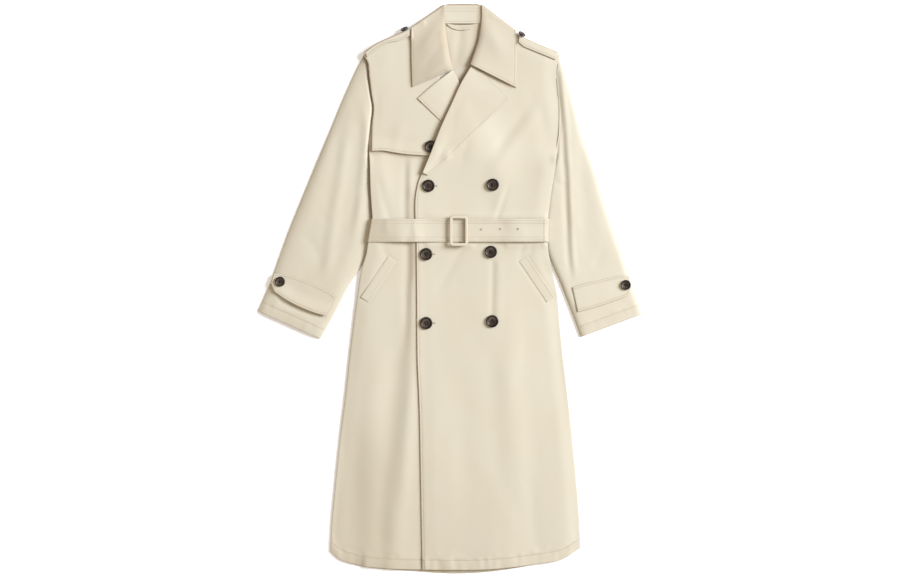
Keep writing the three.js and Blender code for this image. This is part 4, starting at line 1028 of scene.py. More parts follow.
class MeshMaker:
    """Makes Blender meshes from grids in millimetres."""

    def __init__(self, finish: "Finishes") -> None:
        """Keeps the finishes."""
        self.finish = finish

    def add(
        self, name: str, points: Array, faces: Array, material: bpy.types.Material, slot: Slot,
        grain: float = 0.0,
    ) -> bpy.types.Object:
        """Adds a mesh that rides on the coat.

        Args:
            name: name of the piece.
            points: corners in millimetres of the tables.
            faces: corner indices, four or three to a face.
            material: its finish.
            slot: slot of the record; not used.
            grain: angle of the cloth's long threads from +Y, in radians.

        Returns:
            The new object.
        """
        place = points.copy()
        place[:, :2] -= PLAN_MIDDLE
        mesh = bpy.data.meshes.new(name)
        mesh.from_pydata((place * MM).tolist(), [], faces.tolist())
        mesh.materials.append(material)
        mesh.polygons.foreach_set("use_smooth", np.ones(len(mesh.polygons), dtype=bool))
        layer = mesh.uv_layers.new(name="cloth")
        corner = np.empty(len(mesh.loops), dtype=np.int32)
        mesh.loops.foreach_get("vertex_index", corner)
        c, s = math.cos(grain), math.sin(grain)
        uv = np.stack((place[:, 0] * c + place[:, 1] * s, place[:, 1] * c - place[:, 0] * s), axis=1) * MM
        layer.data.foreach_set("uv", uv[corner].ravel())
        mesh.validate()
        piece = bpy.data.objects.new(name, mesh)
        bpy.context.scene.collection.objects.link(piece)
        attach(piece, "root")
        log.info("%s: %d faces", name, len(faces))
        return piece

    def shell(
        self, name: str, skins: Skins, grain: float = 0.0, ring: bool = False, tone: float = 1.0,
        shade_marks: Array | float = 0.0,
    ) -> bpy.types.Object:
        """Adds a closed shell of cloth between two faces.

        Args:
            name: name of the piece.
            skins: its faces.
            grain: angle of its long threads.
            ring: True where the columns close into a tube.
            tone: how strongly its edges and seams are marked with painted shade and the seams' tone.
            shade_marks: share of painted shade on the outer face, at each of its points.

        Returns:
            The new object.
        """
        outer = skins.dressed()
        rows, columns = outer.shape[:2]
        size = rows * columns
        at = np.arange(size).reshape(rows, columns)
        if ring:
            at = np.concatenate((at, at[:, :1]), axis=1)
        top = quads(at[:-1, :-1], at[1:, :-1], at[1:, 1:], at[:-1, 1:])
        first, last = at[0], at[-1]
        parts = [top, top[:, ::-1] + size]
        parts.append(quads(first[:-1], first[1:], first[1:] + size, first[:-1] + size))
        parts.append(quads(last[1:], last[:-1], last[:-1] + size, last[1:] + size))
        if not ring:
            left, right = at[:, 0], at[:, -1]
            parts.append(quads(left[1:], left[:-1], left[:-1] + size, left[1:] + size))
            parts.append(quads(right[:-1], right[1:], right[1:] + size, right[:-1] + size))
        faces = np.concatenate(parts)
        points = np.concatenate((outer.reshape(-1, 3), skins.inner.reshape(-1, 3)))
        if volume_of(points, faces) < 0:
            faces = faces[:, ::-1]
        piece = self.add(name, points, faces, self.finish.cloth, Slot.CLOTH, grain)
        # Painted shade at the edges with the seams' tone, plus the marked painted shade; the inner face gets
        # a fixed share of painted shade
        shade = tone * skins.pull + shade_marks
        self.tint(piece, np.concatenate((shade.ravel(), np.full(size, INSIDE_SHADE * tone))))
        return piece

    @staticmethod
    def tint(piece: bpy.types.Object, tone: Array) -> None:
        """Marks how dark the edges and seams are at each corner of the mesh, from 0 to 1: painted shade at
        edges, under other pieces and in marked areas, the seams' tone, and on buttons a painted highlight.
        """
        layer = piece.data.color_attributes.new("edge", "FLOAT_COLOR", "POINT")
        colour = np.ones((len(tone), 4))
        colour[:, :3] = tone[:, None]
        layer.data.foreach_set("color", colour.ravel())

    def stitches(self, name: str, paths: Sequence[Array], pitch: float = 3.8) -> list[bpy.types.Object]:
        """Adds rows of stitches along paths on the cloth.

        Args:
            name: name of the piece.
            paths: points of each row, in millimetres.
            pitch: distance from one stitch to the next.

        Returns:
            A list of one mesh with all the stitches, or an empty list where there is no path.
        """
        half, thick = 0.36 * pitch, 0.32
        around = ((1.0, 0.0), (0.0, 0.9), (-1.0, 0.0), (0.0, -0.9))
        waist = [(s, thick * a, thick * b) for s in (-0.55 * half, 0.55 * half) for a, b in around]
        shape = np.array([(-half, 0.0, 0.0), *waist, (half, 0.0, 0.0)])
        triangles = [(0, 1 + (k + 1) % 4, 1 + k) for k in range(4)]
        triangles += [(9, 5 + k, 5 + (k + 1) % 4) for k in range(4)]
        for k in range(4):
            n = (k + 1) % 4
            triangles += [(1 + k, 1 + n, 5 + n), (1 + k, 5 + n, 5 + k)]
        points: list[Array] = []
        faces: list[Array] = []
        for path in paths:
            run = lengths_along(path)
            count = int(run[-1] / pitch)
            if count < 2:
                continue
            middle = (np.arange(count) + 0.5) * run[-1] / count
            centre, ahead, behind = (
                np.stack([np.interp(middle + shift, run, path[:, k]) for k in range(3)], axis=1)
                for shift in (0.0, 1.0, -1.0)
            )
            along, across, up = axes_of(ahead - behind)
            made = (
                centre[:, None]
                + shape[None, :, 0:1] * along[:, None]
                + shape[None, :, 1:2] * across[:, None]
                + (shape[None, :, 2:3] + 0.12) * up[:, None]
            )
            base = sum(len(p) for p in points) + 10 * np.arange(count)[:, None, None]
            points.append(made.reshape(-1, 3))
            faces.append((np.array(triangles)[None] + base).reshape(-1, 3))
        if not points:
            return []
        finish = self.finish.thread
        return [self.add(name, np.concatenate(points), np.concatenate(faces), finish, Slot.CLOTH)]


def axes_of(along: Array) -> tuple[Array, Array, Array]:
    """Returns unit vectors along, across and up from directions of travel."""
    along = along / np.linalg.norm(along, axis=1)[:, None]
    across = np.cross(np.array((0.0, 0.0, 1.0)), along)
    across /= np.maximum(np.linalg.norm(across, axis=1)[:, None], 1e-6)
    return along, across, np.cross(along, across)


def area_of(grid: Array) -> float:
    """Returns the area of a grid of points."""
    a = grid[1:, 1:] - grid[:-1, :-1]
    b = grid[1:, :-1] - grid[:-1, 1:]
    if grid.shape[2] == 2:
        return float(np.abs(a[..., 0] * b[..., 1] - a[..., 1] * b[..., 0]).sum() / 2)
    return float(np.linalg.norm(np.cross(a, b), axis=2).sum() / 2)


def extent_of(grid: Array) -> tuple[float, float]:
    """Returns the greatest width and length of a grid along its rows and columns."""
    across = np.linalg.norm(np.diff(grid, axis=1), axis=2).sum(axis=1).max()
    along = np.linalg.norm(np.diff(grid, axis=0), axis=2).sum(axis=0).max()
    return float(across), float(along)


# Laying the pieces


@dataclass
class Laid:
    """A piece of cloth that has come to lie on the pile."""

    top: Array
    bottom: Array
    pull: Array
    edges: dict[Side, Edging]

    def skins(self) -> Skins:
        """Returns its faces, with the upper one as the outer face."""
        return Skins(self.top, self.bottom, self.pull)

    def face_down(self) -> Skins:
        """Returns its faces, with the lower one as the outer face."""
        return Skins(self.bottom, self.top, self.pull)

    def seams(self) -> list[Array]:
        """Returns the paths of the rows of stitches on the upper face."""
        face = self.skins().dressed()
        turned = face.swapaxes(0, 1)
        inwards = {Side.LEFT: turned, Side.RIGHT: turned[::-1], Side.TOP: face, Side.BOTTOM: face[::-1]}
        return [inwards[side][e.column(seam)] for side, e in self.edges.items() for seam in e.seams]


class Coat:
    """The coat as it is put together: the pile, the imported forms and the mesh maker."""

    def __init__(self, frame: dict[str, Any], maker: MeshMaker) -> None:
        """Starts with an empty surface.

        Args:
            frame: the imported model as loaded.
            maker: makes the meshes.
        """
        self.frame = frame
        self.maker = maker
        self.pile = Pile()
        self.side_edges = {side: BodyEdge(side) for side in ("left", "right")}

    def heights(self, node: str, points: Array, above: bool, soften: int) -> Array:
        """Reads a node's surface and smooths its facets away.

        Args:
            node: name of the node.
            points: points in plan.
            above: True for the upper surface.
            soften: rounds of smoothing.

        Returns:
            Heights in millimetres.
        """
        return relax(Form(self.frame["nodes"][node]).heights(points, above), soften)

    def settle(self, plan: Plan, z: Array, wall: float, edges: dict[Side, Edging]) -> Laid:
        """Puts cloth on the pile at given heights.

        Args:
            plan: its mesh in plan.
            z: heights of its underside.
            wall: its thickness.
            edges: finish of its sides.

        Returns:
            The laid cloth, also stamped on the pile.
        """
        bottom = np.dstack((plan.points, z))
        top = np.dstack((plan.points, z + wall))
        self.pile.stamp(top)
        return Laid(top, bottom, pull_of(plan.edge, edges), edges)

    def follow(
        self, plan: Plan, wall: float, edges: dict[Side, Edging], folds: Iterable[Relief] = (),
        lift: Array | float = 0.0, soften: int = 0,
    ) -> Laid:
        """Lays cloth that follows the pile closely.

        Args:
            plan: its mesh in plan.
            wall: its thickness.
            edges: finish of its sides.
            folds: its creases.
            lift: air wanted below it at each point.
            soften: rounds by which it bridges what is below.

        Returns:
            The laid cloth.
        """
        floor = self.pile.floor(plan.points)
        z = relax(relax(floor, 14, floor), soften) + lift + pucker_of(plan, edges)
        return self.settle(plan, np.maximum(folded(z, folds, plan.points), floor), wall, edges)

    def declare(
        self, node: str, area: float, size: tuple[float, float],
        rests_on: Sequence[str],
    ) -> None:
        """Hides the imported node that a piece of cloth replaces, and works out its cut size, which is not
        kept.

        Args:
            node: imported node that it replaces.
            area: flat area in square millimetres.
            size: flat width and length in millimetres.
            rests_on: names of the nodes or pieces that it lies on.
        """
        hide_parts(node)
        width, length = (max(s, NARROWEST_CUT) * MM for s in size)
        flat = min(area * MM * MM, width * length)
        list(rests_on)
        max(flat, LEAST_SHARE * width * length)


@dataclass
class Panel:
    """A piece of cloth that lies flat on what is below it."""

    node: str
    patch: Patch
    rests_on: tuple[str, ...]
    wall: float = PANEL_T
    step: tuple[float, float] = (FINE_STEP, FINE_STEP)
    edges: dict[Side, Edging] = field(default_factory=dict)
    folds: tuple[Relief, ...] = ()
    # extra air below it, away from its long edges
    air: float = 0.0
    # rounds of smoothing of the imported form, and of levelling on the pile
    soften: int = 24
    rounds: int = 10
    # shares down at which a line of the mesh has to pass
    keep: tuple[float, ...] = ()
    grain: float = 0.0
    gap: float = LAY_GAP
    # height by which a side stands off, and the distance over which that fades
    lift: dict[Side, tuple[float, float]] = field(default_factory=dict)
    # how strongly its edges and seams are marked with painted shade and the seams' tone, and its strips and
    # areas of painted shade
    tone: float = 1.0
    shade_marks: tuple[Crease, ...] = ()

    def lay(self, coat: Coat, plan: Plan) -> Laid:
        """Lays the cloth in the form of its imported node, with its folds, clear of what is below.

        Args:
            coat: the coat so far.
            plan: the cloth's mesh in plan.

        Returns:
            The laid cloth.
        """
        floor = coat.pile.floor(plan.points, self.gap)
        z = np.maximum(coat.heights(self.node, plan.points, False, self.soften), floor)
        side = np.minimum(plan.edge[Side.LEFT], plan.edge[Side.RIGHT])
        z = relax(z, self.rounds, floor) + self.air * smooth(side / AIR_REACH)
        for edge, (height, reach) in self.lift.items():
            z = z + height * smooth(1 - plan.edge[edge] / reach)
        z = folded(z, self.folds, plan.points, smooth((side + 1.0) / FOLD_REACH))
        z = relax(np.maximum(z + pucker_of(plan, self.edges), floor), 1, floor)
        return coat.settle(plan, z, self.wall, self.edges)

    def build(self, coat: Coat) -> None:
        """Lays the panel, sews it and adds its mesh."""
        plan = self.patch.plan(self.step, self.edges, keep=self.keep)
        laid = self.lay(coat, plan)
        # painted shade of its marked strips and areas
        shade_marks = np.zeros(laid.pull.shape)
        for mark in self.shade_marks:
            shade_marks = np.maximum(shade_marks, mark.at(plan.points))
        name = f"{self.node}_cloth"
        piece = coat.maker.shell(name, laid.skins(), self.grain, tone=self.tone, shade_marks=shade_marks)
        sewing = coat.maker.stitches(f"{self.node}_stitching", laid.seams())
        size = extent_of(plan.points)
        coat.declare(self.node, area_of(plan.points), size, self.rests_on)


@dataclass
class Sleeve:
    """A sleeve: a tube of cloth that lies flat, open at the armhole and the cuff."""

    node: str
    table: Table
    side: str
    sign: float
    folds: tuple[Relief, ...]
    # reach of the sleeve past the body's side edge, depth of the dip along it, and how level the top is
    seam: float
    dip: float
    level: float
    grain: float
    # strips of painted shade on its upper face
    shade_marks: tuple[Crease, ...] = ()
    edge_radius: float = 12.0
    under_radius: float = 6.0
    # height of the flattened tube's middle and of its level top
    middle: float = 1.9
    full: float = 7.8
    dip_width: float = 3.4
    # width of the painted shade along the armhole and the body's side edge
    shadow_width: float = 2.2
    edges: ClassVar[dict[Side, Edging]] = {Side.BOTTOM: Edging((HEM_STITCH,), pucker=0.25)}

    def patch(self) -> Patch:
        """Returns the sleeve's plan: inner seam at the left, outer edge at the right, armhole at the top."""
        rows = BODY.points(self.side)[:7][::-1]
        armhole = rows + np.array((self.sign * self.seam, 0.0))
        inner = self.table.points("inX", "inY")
        outer = self.table.points("outX", "outY")
        inner[0] = armhole[0]
        outer[0] = armhole[-1]
        return Patch(Line(inner), Line(outer), Line(armhole), Line((inner[-1], outer[-1])))

    def clear_of_body(self, plan: Plan, edge: BodyEdge) -> Array:
        """Returns x and y of the mesh, kept from reaching under the body by more than the tuck."""
        x, y = plan.points[..., 0], plan.points[..., 1]
        nearby = [self.sign * edge.at(np.minimum(y + d, ARMHOLE_TOP)) for d in (-12.0, 0.0, 12.0)]
        reach = self.seam * (1 + 2 * smooth(plan.edge[Side.TOP] / 20))
        limit = np.maximum.reduce(nearby) + reach - np.maximum(0.0, TUCK_Y - y)
        return np.dstack((self.sign * np.maximum(self.sign * x, limit), y))

    def build(self, coat: Coat) -> None:
        """Shapes the sleeve's two layers and adds its mesh."""
        plan = self.patch().plan((FINE_STEP, FINE_STEP), self.edges)
        edge = coat.side_edges[self.side]
        plan.points = self.clear_of_body(plan, edge)
        x, y = plan.points[..., 0], plan.points[..., 1]
        z = coat.heights(self.node, plan.points, True, 16)
        inside = smooth((edge.at(y) * self.sign - x * self.sign + 4) / 16) * (y < TUCK_Y + 30)
        z = z + (self.full - z) * self.level * (1 - inside)
        z = folded(z, self.folds, plan.points, 1 - inside) + pucker_of(plan, self.edges)
        distance = np.minimum(plan.edge[Side.LEFT], plan.edge[Side.RIGHT])
        crown = quarter_round(distance / self.edge_radius)
        beside = np.minimum(plan.edge[Side.TOP], np.abs(x - edge.at(y)) + 100.0 * (y < BELT.middle_y + 25))
        z = z - self.dip * np.exp(-((beside / self.dip_width) ** 2)) * crown
        top = self.middle + np.maximum(z - self.middle, 1.5) * crown
        base = self.middle * (1 - quarter_round(distance / self.under_radius))
        half = (top + base) / 2
        upper = np.dstack((plan.points, top))
        lower = np.dstack((plan.points, base))
        inside_top = np.dstack((plan.points, np.maximum(top - PANEL_T, half + 0.05)))
        inside_base = np.dstack((plan.points, np.minimum(base + PANEL_T, half - 0.05)))
        inset = (plan.points[:, -1:] - plan.points[:, :1]) / np.maximum(plan.edge[Side.RIGHT][:, :1, None], 1)
        for skin in (inside_top, inside_base):
            skin[:, :1, :2] += inset * PANEL_T
            skin[:, -1:, :2] -= inset * PANEL_T
        pull = pull_of(plan.edge, self.edges) * np.where(distance > 1.0, 1.0, 0.0)
        # painted shade along the armhole and the body's side edge, stronger where the dip is deeper, then the
        # marked strips of painted shade
        pull = np.maximum(pull, 0.1 * self.dip * np.exp(-((beside / self.shadow_width) ** 2)))
        for mark in self.shade_marks:
            pull = np.maximum(pull, mark.at(plan.points))
        # painted shade along the cuff's edge on the lower layer
        rim = 1 - np.sin(np.pi / 2 * np.minimum(1, plan.edge[Side.BOTTOM] / 1.5))
        pairs = ((upper, lower), (inside_top, inside_base), (pull, 0.5 * rim))
        skins = Skins(*(np.concatenate((over, under[:, -2:0:-1]), axis=1) for over, under in pairs))
        coat.pile.stamp(upper, (upper[:-1, :-1, 1] < TUCK_Y + 10))
        piece = coat.maker.shell(f"{self.node}_cloth", skins, self.grain, ring=True)
        seams = Laid(upper, inside_top, pull, self.edges).seams()
        sewing = coat.maker.stitches(f"{self.node}_stitching", [path[3:-3] for path in seams])
        width, length = extent_of(plan.points)
        size = (2 * width, length)
        coat.declare(self.node, 2 * area_of(plan.points), size, ())


def quarter_round(share: Array) -> Array:
    """Returns the height of a quarter circle of radius 1 at shares of its width."""
    return np.sqrt(1 - (1 - np.minimum(1.0, share)) ** 2)


class Ribbon:
    """Base of the strips that pass round an edge: a back part laid first and a front part laid on top."""

    node: str
    wall = DOUBLE_T
    grain = math.pi / 2
    columns = 10
    tone = 1.0

    def finish(
        self, coat: Coat, parts: Sequence[Skins], seams: Sequence[Array], rests_on: Sequence[str]
    ) -> None:
        """Joins the parts and adds the mesh and its sewing.

        Args:
            coat: the coat so far.
            parts: the skins in order.
            seams: paths of the rows of stitches.
            rests_on: what the strip lies on.
        """
        whole = Skins.joined(parts)
        piece = coat.maker.shell(f"{self.node}_cloth", whole, self.grain, tone=self.tone)
        sewing = coat.maker.stitches(f"{self.node}_stitching", seams)
        middle = (whole.outer + whole.inner) / 2
        coat.declare(self.node, area_of(middle), extent_of(middle), rests_on)


@dataclass
class Belt(Ribbon):
    """The belt: from the buckle to the wearer's left side, round the back and over the front again."""

    node: str = "belt"
    tone: float = 0.5
    # painted shade on the belt's front towards the wearer's right
    shade: float = 0.17
    edges: ClassVar[dict[Side, Edging]] = {Side.LEFT: TWICE, Side.RIGHT: TWICE}

    def strip(self, start: Line, end: Line) -> Patch:
        """Returns a length of belt in plan between two lines across it."""
        top = Line((start.points[0], end.points[0]))
        bottom = Line((start.points[-1], end.points[-1]))
        return Patch(top, bottom, start, end)

    def plan(self, patch: Patch, step: float, edges: dict[Side, Edging]) -> Plan:
        """Returns the mesh in plan of a length of belt."""
        return patch.plan((BELT.width / self.columns, step), edges, self.columns)

    def across(self, edge: BodyEdge | float) -> Line:
        """Returns a line across the belt, at the body's side edge or at a given x."""
        y = BELT.middle_y + BELT.width * np.array((0.5, 0.25, 0.0, -0.25, -0.5))
        x = edge.at(y) if isinstance(edge, BodyEdge) else np.full(5, edge)
        return Line(np.stack((x, y), axis=1))

    def lay_back(self, coat: Coat) -> None:
        """Lays the part that passes behind the back."""
        patch = self.strip(self.across(coat.side_edges["right"]), self.across(coat.side_edges["left"]))
        layer = Panel(
            self.node, patch, (), self.wall, edges=self.edges, folds=STRIP_FOLDS, soften=10, rounds=6
        )
        self.back = layer.lay(coat, self.plan(patch, 5.0, self.edges))

    def build(self, coat: Coat) -> None:
        """Lays the front parts, joins them to the back and adds the mesh."""
        right, left = (self.across(coat.side_edges[side]) for side in ("right", "left"))
        anchor = self.lay_front(coat, self.strip(self.across(BELT.anchor_x), right), 4.0, self.edges)
        ends = {**self.edges, Side.BOTTOM: STITCHED}
        over = self.lay_front(coat, self.strip(left, self.across(BELT.tip_x)), 3.0, ends)
        back = self.back.face_down()
        outward = np.array((1.0, 0.0))
        first = turn_between(anchor.skins(), back, outward, TUCK_GAP, self.wall)
        second = turn_up(back, over.skins(), -outward, TUCK_GAP, self.wall)
        parts = [anchor.skins(), first, back, second, over.skins()]
        self.finish(coat, parts, over.seams(), ("front_right", "front_left", "back"))

    def lay_front(self, coat: Coat, patch: Patch, step: float, edges: dict[Side, Edging]) -> Laid:
        """Lays a front part on the pile, standing off a little where the waist gathers.

        Args:
            coat: the coat so far.
            patch: its shape in plan.
            step: spacing of its mesh along the belt.
            edges: finish of its sides.

        Returns:
            The laid part.
        """
        plan = self.plan(patch, step, edges)
        floor = coat.pile.floor(plan.points)
        z = folded(relax(floor, 12, floor), BELT_FOLDS, plan.points)
        laid = coat.settle(plan, relax(np.maximum(z, floor), 1, floor), self.wall, edges)
        # painted shade that grows towards the wearer's right
        laid.pull = np.maximum(laid.pull, self.shade * smooth((-90 - plan.points[..., 0]) / 70.0))
        return laid


def square_to(start: Array, end: Array) -> Array:
    """Returns the direction in plan that is square to a line and points towards the collar."""
    run = (end - start) / np.linalg.norm(end - start)
    side = np.array((-run[1], run[0]))
    return side if side[1] > 0 else -side


@dataclass
class Collar(Ribbon):
    """The collar: two leaves in front and one fall behind, folded over at both sides of the neck."""

    node: str = "collar"
    turn_inset: float = 2.6
    columns: int = 22
    roll_radius: float = 15.0

    def turn_row(self, table: Table) -> tuple[Array, Array, Array]:
        """Returns the ends of a fold line, drawn in by the reach of the fold, and the outward direction."""
        start, end = table.points("inX", "inY")[0], table.points("outX", "outY")[0]
        outward = square_to(start, end)
        return start - outward * self.turn_inset, end - outward * self.turn_inset, outward

    def lay_back(self, coat: Coat) -> None:
        """Lays the fall behind the neck."""
        a_in, a_out, _ = self.turn_row(COLLAR_RIGHT_TURN)
        b_in, b_out, _ = self.turn_row(COLLAR_LEFT_TURN)
        inner = np.concatenate(([a_in], COLLAR_BACK.points("inX", "inY"), [b_in]))
        outer = np.concatenate(([a_out], COLLAR_BACK.points("outX", "outY"), [b_out]))
        edges = {Side.LEFT: PLAIN, Side.RIGHT: STITCHED}
        plan = Patch.between(inner, outer).plan((4, 4), edges, self.columns)
        self.back = coat.follow(plan, self.wall, edges)

    def leaf(
        self, coat: Coat, table: Table, turn: Table, tip: Side, folds: Iterable[Relief], rise: float,
        bend: float, shade: float,
    ) -> Laid:
        """Lays one front leaf, which rises to its roll and curls down there.

        Args:
            coat: the coat so far.
            table: its rows from the roll to the outer edge.
            turn: its fold line at the side of the neck.
            tip: side of its mesh, top or bottom, at which its point is.
            folds: its creases.
            rise: height of the roll.
            bend: how late the leaf comes down from its roll.
            shade: share of the seam's colour painted over the leaf as shade, three times as much along its
                roll.

        Returns:
            The laid leaf.
        """
        t_in, t_out, _ = self.turn_row(turn)
        inner, outer = [*table.points("inX", "inY"), t_in], [*table.points("outX", "outY"), t_out]
        neck = Side.BOTTOM
        if tip is Side.BOTTOM:
            inner, outer = [inner[-1], *inner[:-1]], [outer[-1], *outer[:-1]]
            neck = Side.TOP
        edges = {Side.RIGHT: STITCHED, tip: STITCHED}
        plan = Patch.between(inner, outer).plan((4, 3.5), edges, self.columns)
        roll = plan.edge[Side.LEFT]
        share = roll / np.maximum(roll + plan.edge[Side.RIGHT], 1.0)
        curl = quarter_round(roll / self.roll_radius)
        lift = 0.2 + rise * (1 - share**bend) * curl * smooth(plan.edge[neck] / 60.0)
        laid = coat.follow(plan, self.wall, edges, folds, lift, 60)
        # painted shade over the leaf, deepest along the roll
        laid.pull = np.maximum(laid.pull, shade + 2 * shade * np.exp(-((roll / 9.0) ** 2)))
        return laid

    def build(self, coat: Coat) -> None:
        """Lays both leaves, joins them behind the neck and adds the mesh."""
        right = self.leaf(
            coat, COLLAR_RIGHT_LEAF, COLLAR_RIGHT_TURN, Side.TOP, RIGHT_LEAF_FOLDS,
            rise=10.0, bend=1.0, shade=0.08,
        )
        left = self.leaf(
            coat, COLLAR_LEFT_LEAF, COLLAR_LEFT_TURN, Side.BOTTOM, LEFT_LEAF_FOLDS,
            rise=3.4, bend=2.5, shade=0.045,
        )
        back = self.back.face_down()
        gap = self.turn_inset - self.wall
        first = turn_between(right.skins(), back, self.turn_row(COLLAR_RIGHT_TURN)[2], gap, self.wall)
        second = turn_up(back, left.skins(), self.turn_row(COLLAR_LEFT_TURN)[2], gap, self.wall)
        parts = [right.skins(), first, back, second, left.skins()]
        seams = [*right.seams(), *left.seams()]
        self.finish(coat, parts, seams, ("lapel_right", "lapel_left", "collar_stand"))


@dataclass
class ShoulderStrap(Ribbon):
    """A strap that is folded over the shoulder seam."""

    node: str
    table: Table
    columns: int = 36
    grain: float = 1.1
    back_width: float = 20.0

    def __post_init__(self) -> None:
        """Finds the fold, and the direction away from the body in which it stands out."""
        self.fold = self.table.points("foldX", "foldY")
        self.outward = square_to(self.fold[0], self.fold[-1])

    def plan(self, top: Array, bottom: Array, edges: dict[Side, Edging]) -> Plan:
        """Returns the mesh in plan between the two long edges of a part."""
        sides = (Line((top[k], bottom[k])) for k in (0, -1))
        return Patch(*sides, Line(top), Line(bottom)).plan((4, 3), edges, self.columns)

    def lay_back(self, coat: Coat) -> None:
        """Lays the part behind the shoulder."""
        edges = {Side.BOTTOM: Edging((4.0,))}
        plan = self.plan(self.fold, self.fold - self.outward * self.back_width, edges)
        self.back = coat.follow(plan, self.wall, edges)

    def build(self, coat: Coat) -> None:
        """Lays the front part, joins it to the back and adds the mesh."""
        edges = {Side.TOP: Edging((4.0,), pucker=0.05)}
        plan = self.plan(self.table.points("frontX", "frontY"), self.fold, edges)
        laid = coat.follow(plan, self.wall, edges, lift=0.2)
        back = self.back.face_down()
        turn = turn_between(laid.skins(), back, self.outward, TUCK_GAP, self.wall)
        self.finish(coat, [laid.skins(), turn, back], laid.seams(), ("front_right", "front_left", "back"))


# Hard pieces and small sewing


def revolve(
    profile: Array, sides: int, relief: Callable[[Array, Array], Array] | None = None
) -> tuple[Array, Array]:
    """Turns a profile round an axis.

    Args:
        profile: rows of radius and height, from the axis underneath to the axis on top.
        sides: number of steps round.
        relief: function of x and y that gives what is taken off the height, or None.

    Returns:
        Points and four-sided faces. The first and last ring close on the axis.
    """
    angle = 2 * np.pi * np.arange(sides) / sides
    x = profile[:, :1] * np.cos(angle)
    y = profile[:, :1] * np.sin(angle)
    z = np.repeat(profile[:, 1:], sides, axis=1)
    if relief is not None:
        z = z - relief(x, y) * (np.arange(len(profile))[:, None] > len(profile) // 3)
    at = np.arange(len(profile) * sides).reshape(len(profile), sides)
    return np.stack((x, y, z), axis=-1).reshape(-1, 3), ring_faces(at)


def loop_tube(path: Array, width: float, height: float, sides: int = 8) -> tuple[Array, Array]:
    """Sweeps a section, squarer than a circle as of cloth wrapped over a bar, along a loop.

    Args:
        path: points of its middle line.
        width: its width in plan.
        height: its height.
        sides: number of sides of the section.

    Returns:
        Points and four-sided faces.
    """
    _, across, up = axes_of(np.roll(path, -1, axis=0) - np.roll(path, 1, axis=0))
    angle = 2 * np.pi * (np.arange(sides) + 0.5) / sides
    c, s = (np.sign(v) * np.abs(v) ** 0.55 for v in (np.cos(angle), np.sin(angle)))
    wide = width / 2 * c[None, :, None] * across[:, None]
    points = path[:, None] + wide + height / 2 * s[None, :, None] * up[:, None]
    at = np.arange(len(path) * sides).reshape(len(path), sides)
    return points.reshape(-1, 3), ring_faces(np.concatenate((at, at[:1])))


@dataclass
class Button:
    """A horn button with a rim, a dished middle and four holes with thread."""

    place: ButtonPlace
    height: float = BUTTON_HEIGHT
    sides: int = 56
    # of the diameter: distance of the holes from the middle lines, and their radius
    hole_reach: float = 0.105
    hole_radius: float = 0.047
    strand: float = 0.2

    def relief(self, x: Array, y: Array) -> Array:
        """Returns the depth of the holes."""
        reach = self.hole_reach * self.place.diameter
        bore = self.hole_radius * self.place.diameter
        total = np.zeros(x.shape)
        for sx in (-1, 1):
            for sy in (-1, 1):
                distance = np.hypot(x - sx * reach, y - sy * reach)
                total = np.maximum(total, 1.5 * smooth((1.35 * bore - distance) / (0.6 * bore)))
        return total

    def profile(self) -> Array:
        """Returns radius and height of the turned shape."""
        r = self.place.diameter / 2
        h = self.height
        low = [(0.0, 0.0), (0.5, 0.0), (0.72, 0.0), (0.86, 0.16), (0.97, 0.36), (1.0, 0.52)]
        high = [(1.0, 0.62), (0.985, 0.8), (0.95, 0.93), (0.9, 1.0), (0.85, 1.0), (0.79, 0.92), (0.72, 0.77)]
        shape = [(a * r, b * h) for a, b in low + high]
        shape += [(s * r, h * (0.55 + 0.16 * (s / 0.72) ** 2)) for s in np.linspace(0.66, 0.0, 20)]
        return np.array(shape)

    def thread(self) -> tuple[Array, Array]:
        """Returns points and faces of the bars of thread that cross between the holes."""
        reach = self.hole_reach * self.place.diameter
        t = np.linspace(-1, 1, 7)[:, None]
        angle = 2 * np.pi * np.arange(6) / 6
        at = np.arange(42).reshape(7, 6)
        points: list[Array] = []
        faces: list[Array] = []
        for sy in (-1, 1):
            for shift in (-0.32, 0.0, 0.32):
                x = t * reach * 1.05 + 0 * angle
                y = sy * reach + shift + self.strand * np.cos(angle) + 0 * t
                z = self.height * 0.56 + 0.55 * (1 - t**4) - 0.9 * t**8 + self.strand * np.sin(angle)
                faces.append(ring_faces(at + 42 * len(points)))
                points.append(np.stack((x, y, z), axis=-1).reshape(-1, 3))
        return np.concatenate(points), np.concatenate(faces)

    def build(self, coat: Coat, z: float, axis: Vector | None = None) -> None:
        """Adds the button and its thread.

        Args:
            coat: the coat so far.
            z: height of its underside.
            axis: direction in which its face looks, or None for straight up.
        """
        points, faces = revolve(self.profile(), self.sides, self.relief)
        thread, thread_faces = self.thread()
        place = self.place
        spin = np.random.default_rng(int(abs(place.x) * 7 + abs(place.y))).uniform(-0.5, 0.5)
        c, s = math.cos(spin), math.sin(spin)
        turn = np.array(((c, -s, 0), (s, c, 0), (0, 0, 1)))
        if axis is not None:
            turn = np.array(Vector((0, 0, 1)).rotation_difference(axis).to_matrix()) @ turn
        middle = np.array((place.x, place.y, z))
        maker, finish = coat.maker, coat.maker.finish
        piece = maker.add(f"{place.node}_horn", points @ turn.T + middle, faces, finish.horn, Slot.BUTTONS)
        x, y = (points[:, k] / (place.diameter / 2) for k in (0, 1))
        distance = np.hypot(x, y)
        # painted highlight in the dish, lighter to one side
        dish_highlight = smooth((distance - 0.3) / 0.12) * smooth((0.7 - distance) / 0.08)
        maker.tint(piece, dish_highlight * (0.55 - 0.35 * x + 0.25 * y))
        bits = thread @ turn.T + middle
        maker.add(f"{place.node}_thread", bits, thread_faces, finish.dark_thread, Slot.BUTTONS)
        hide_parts(place.node)


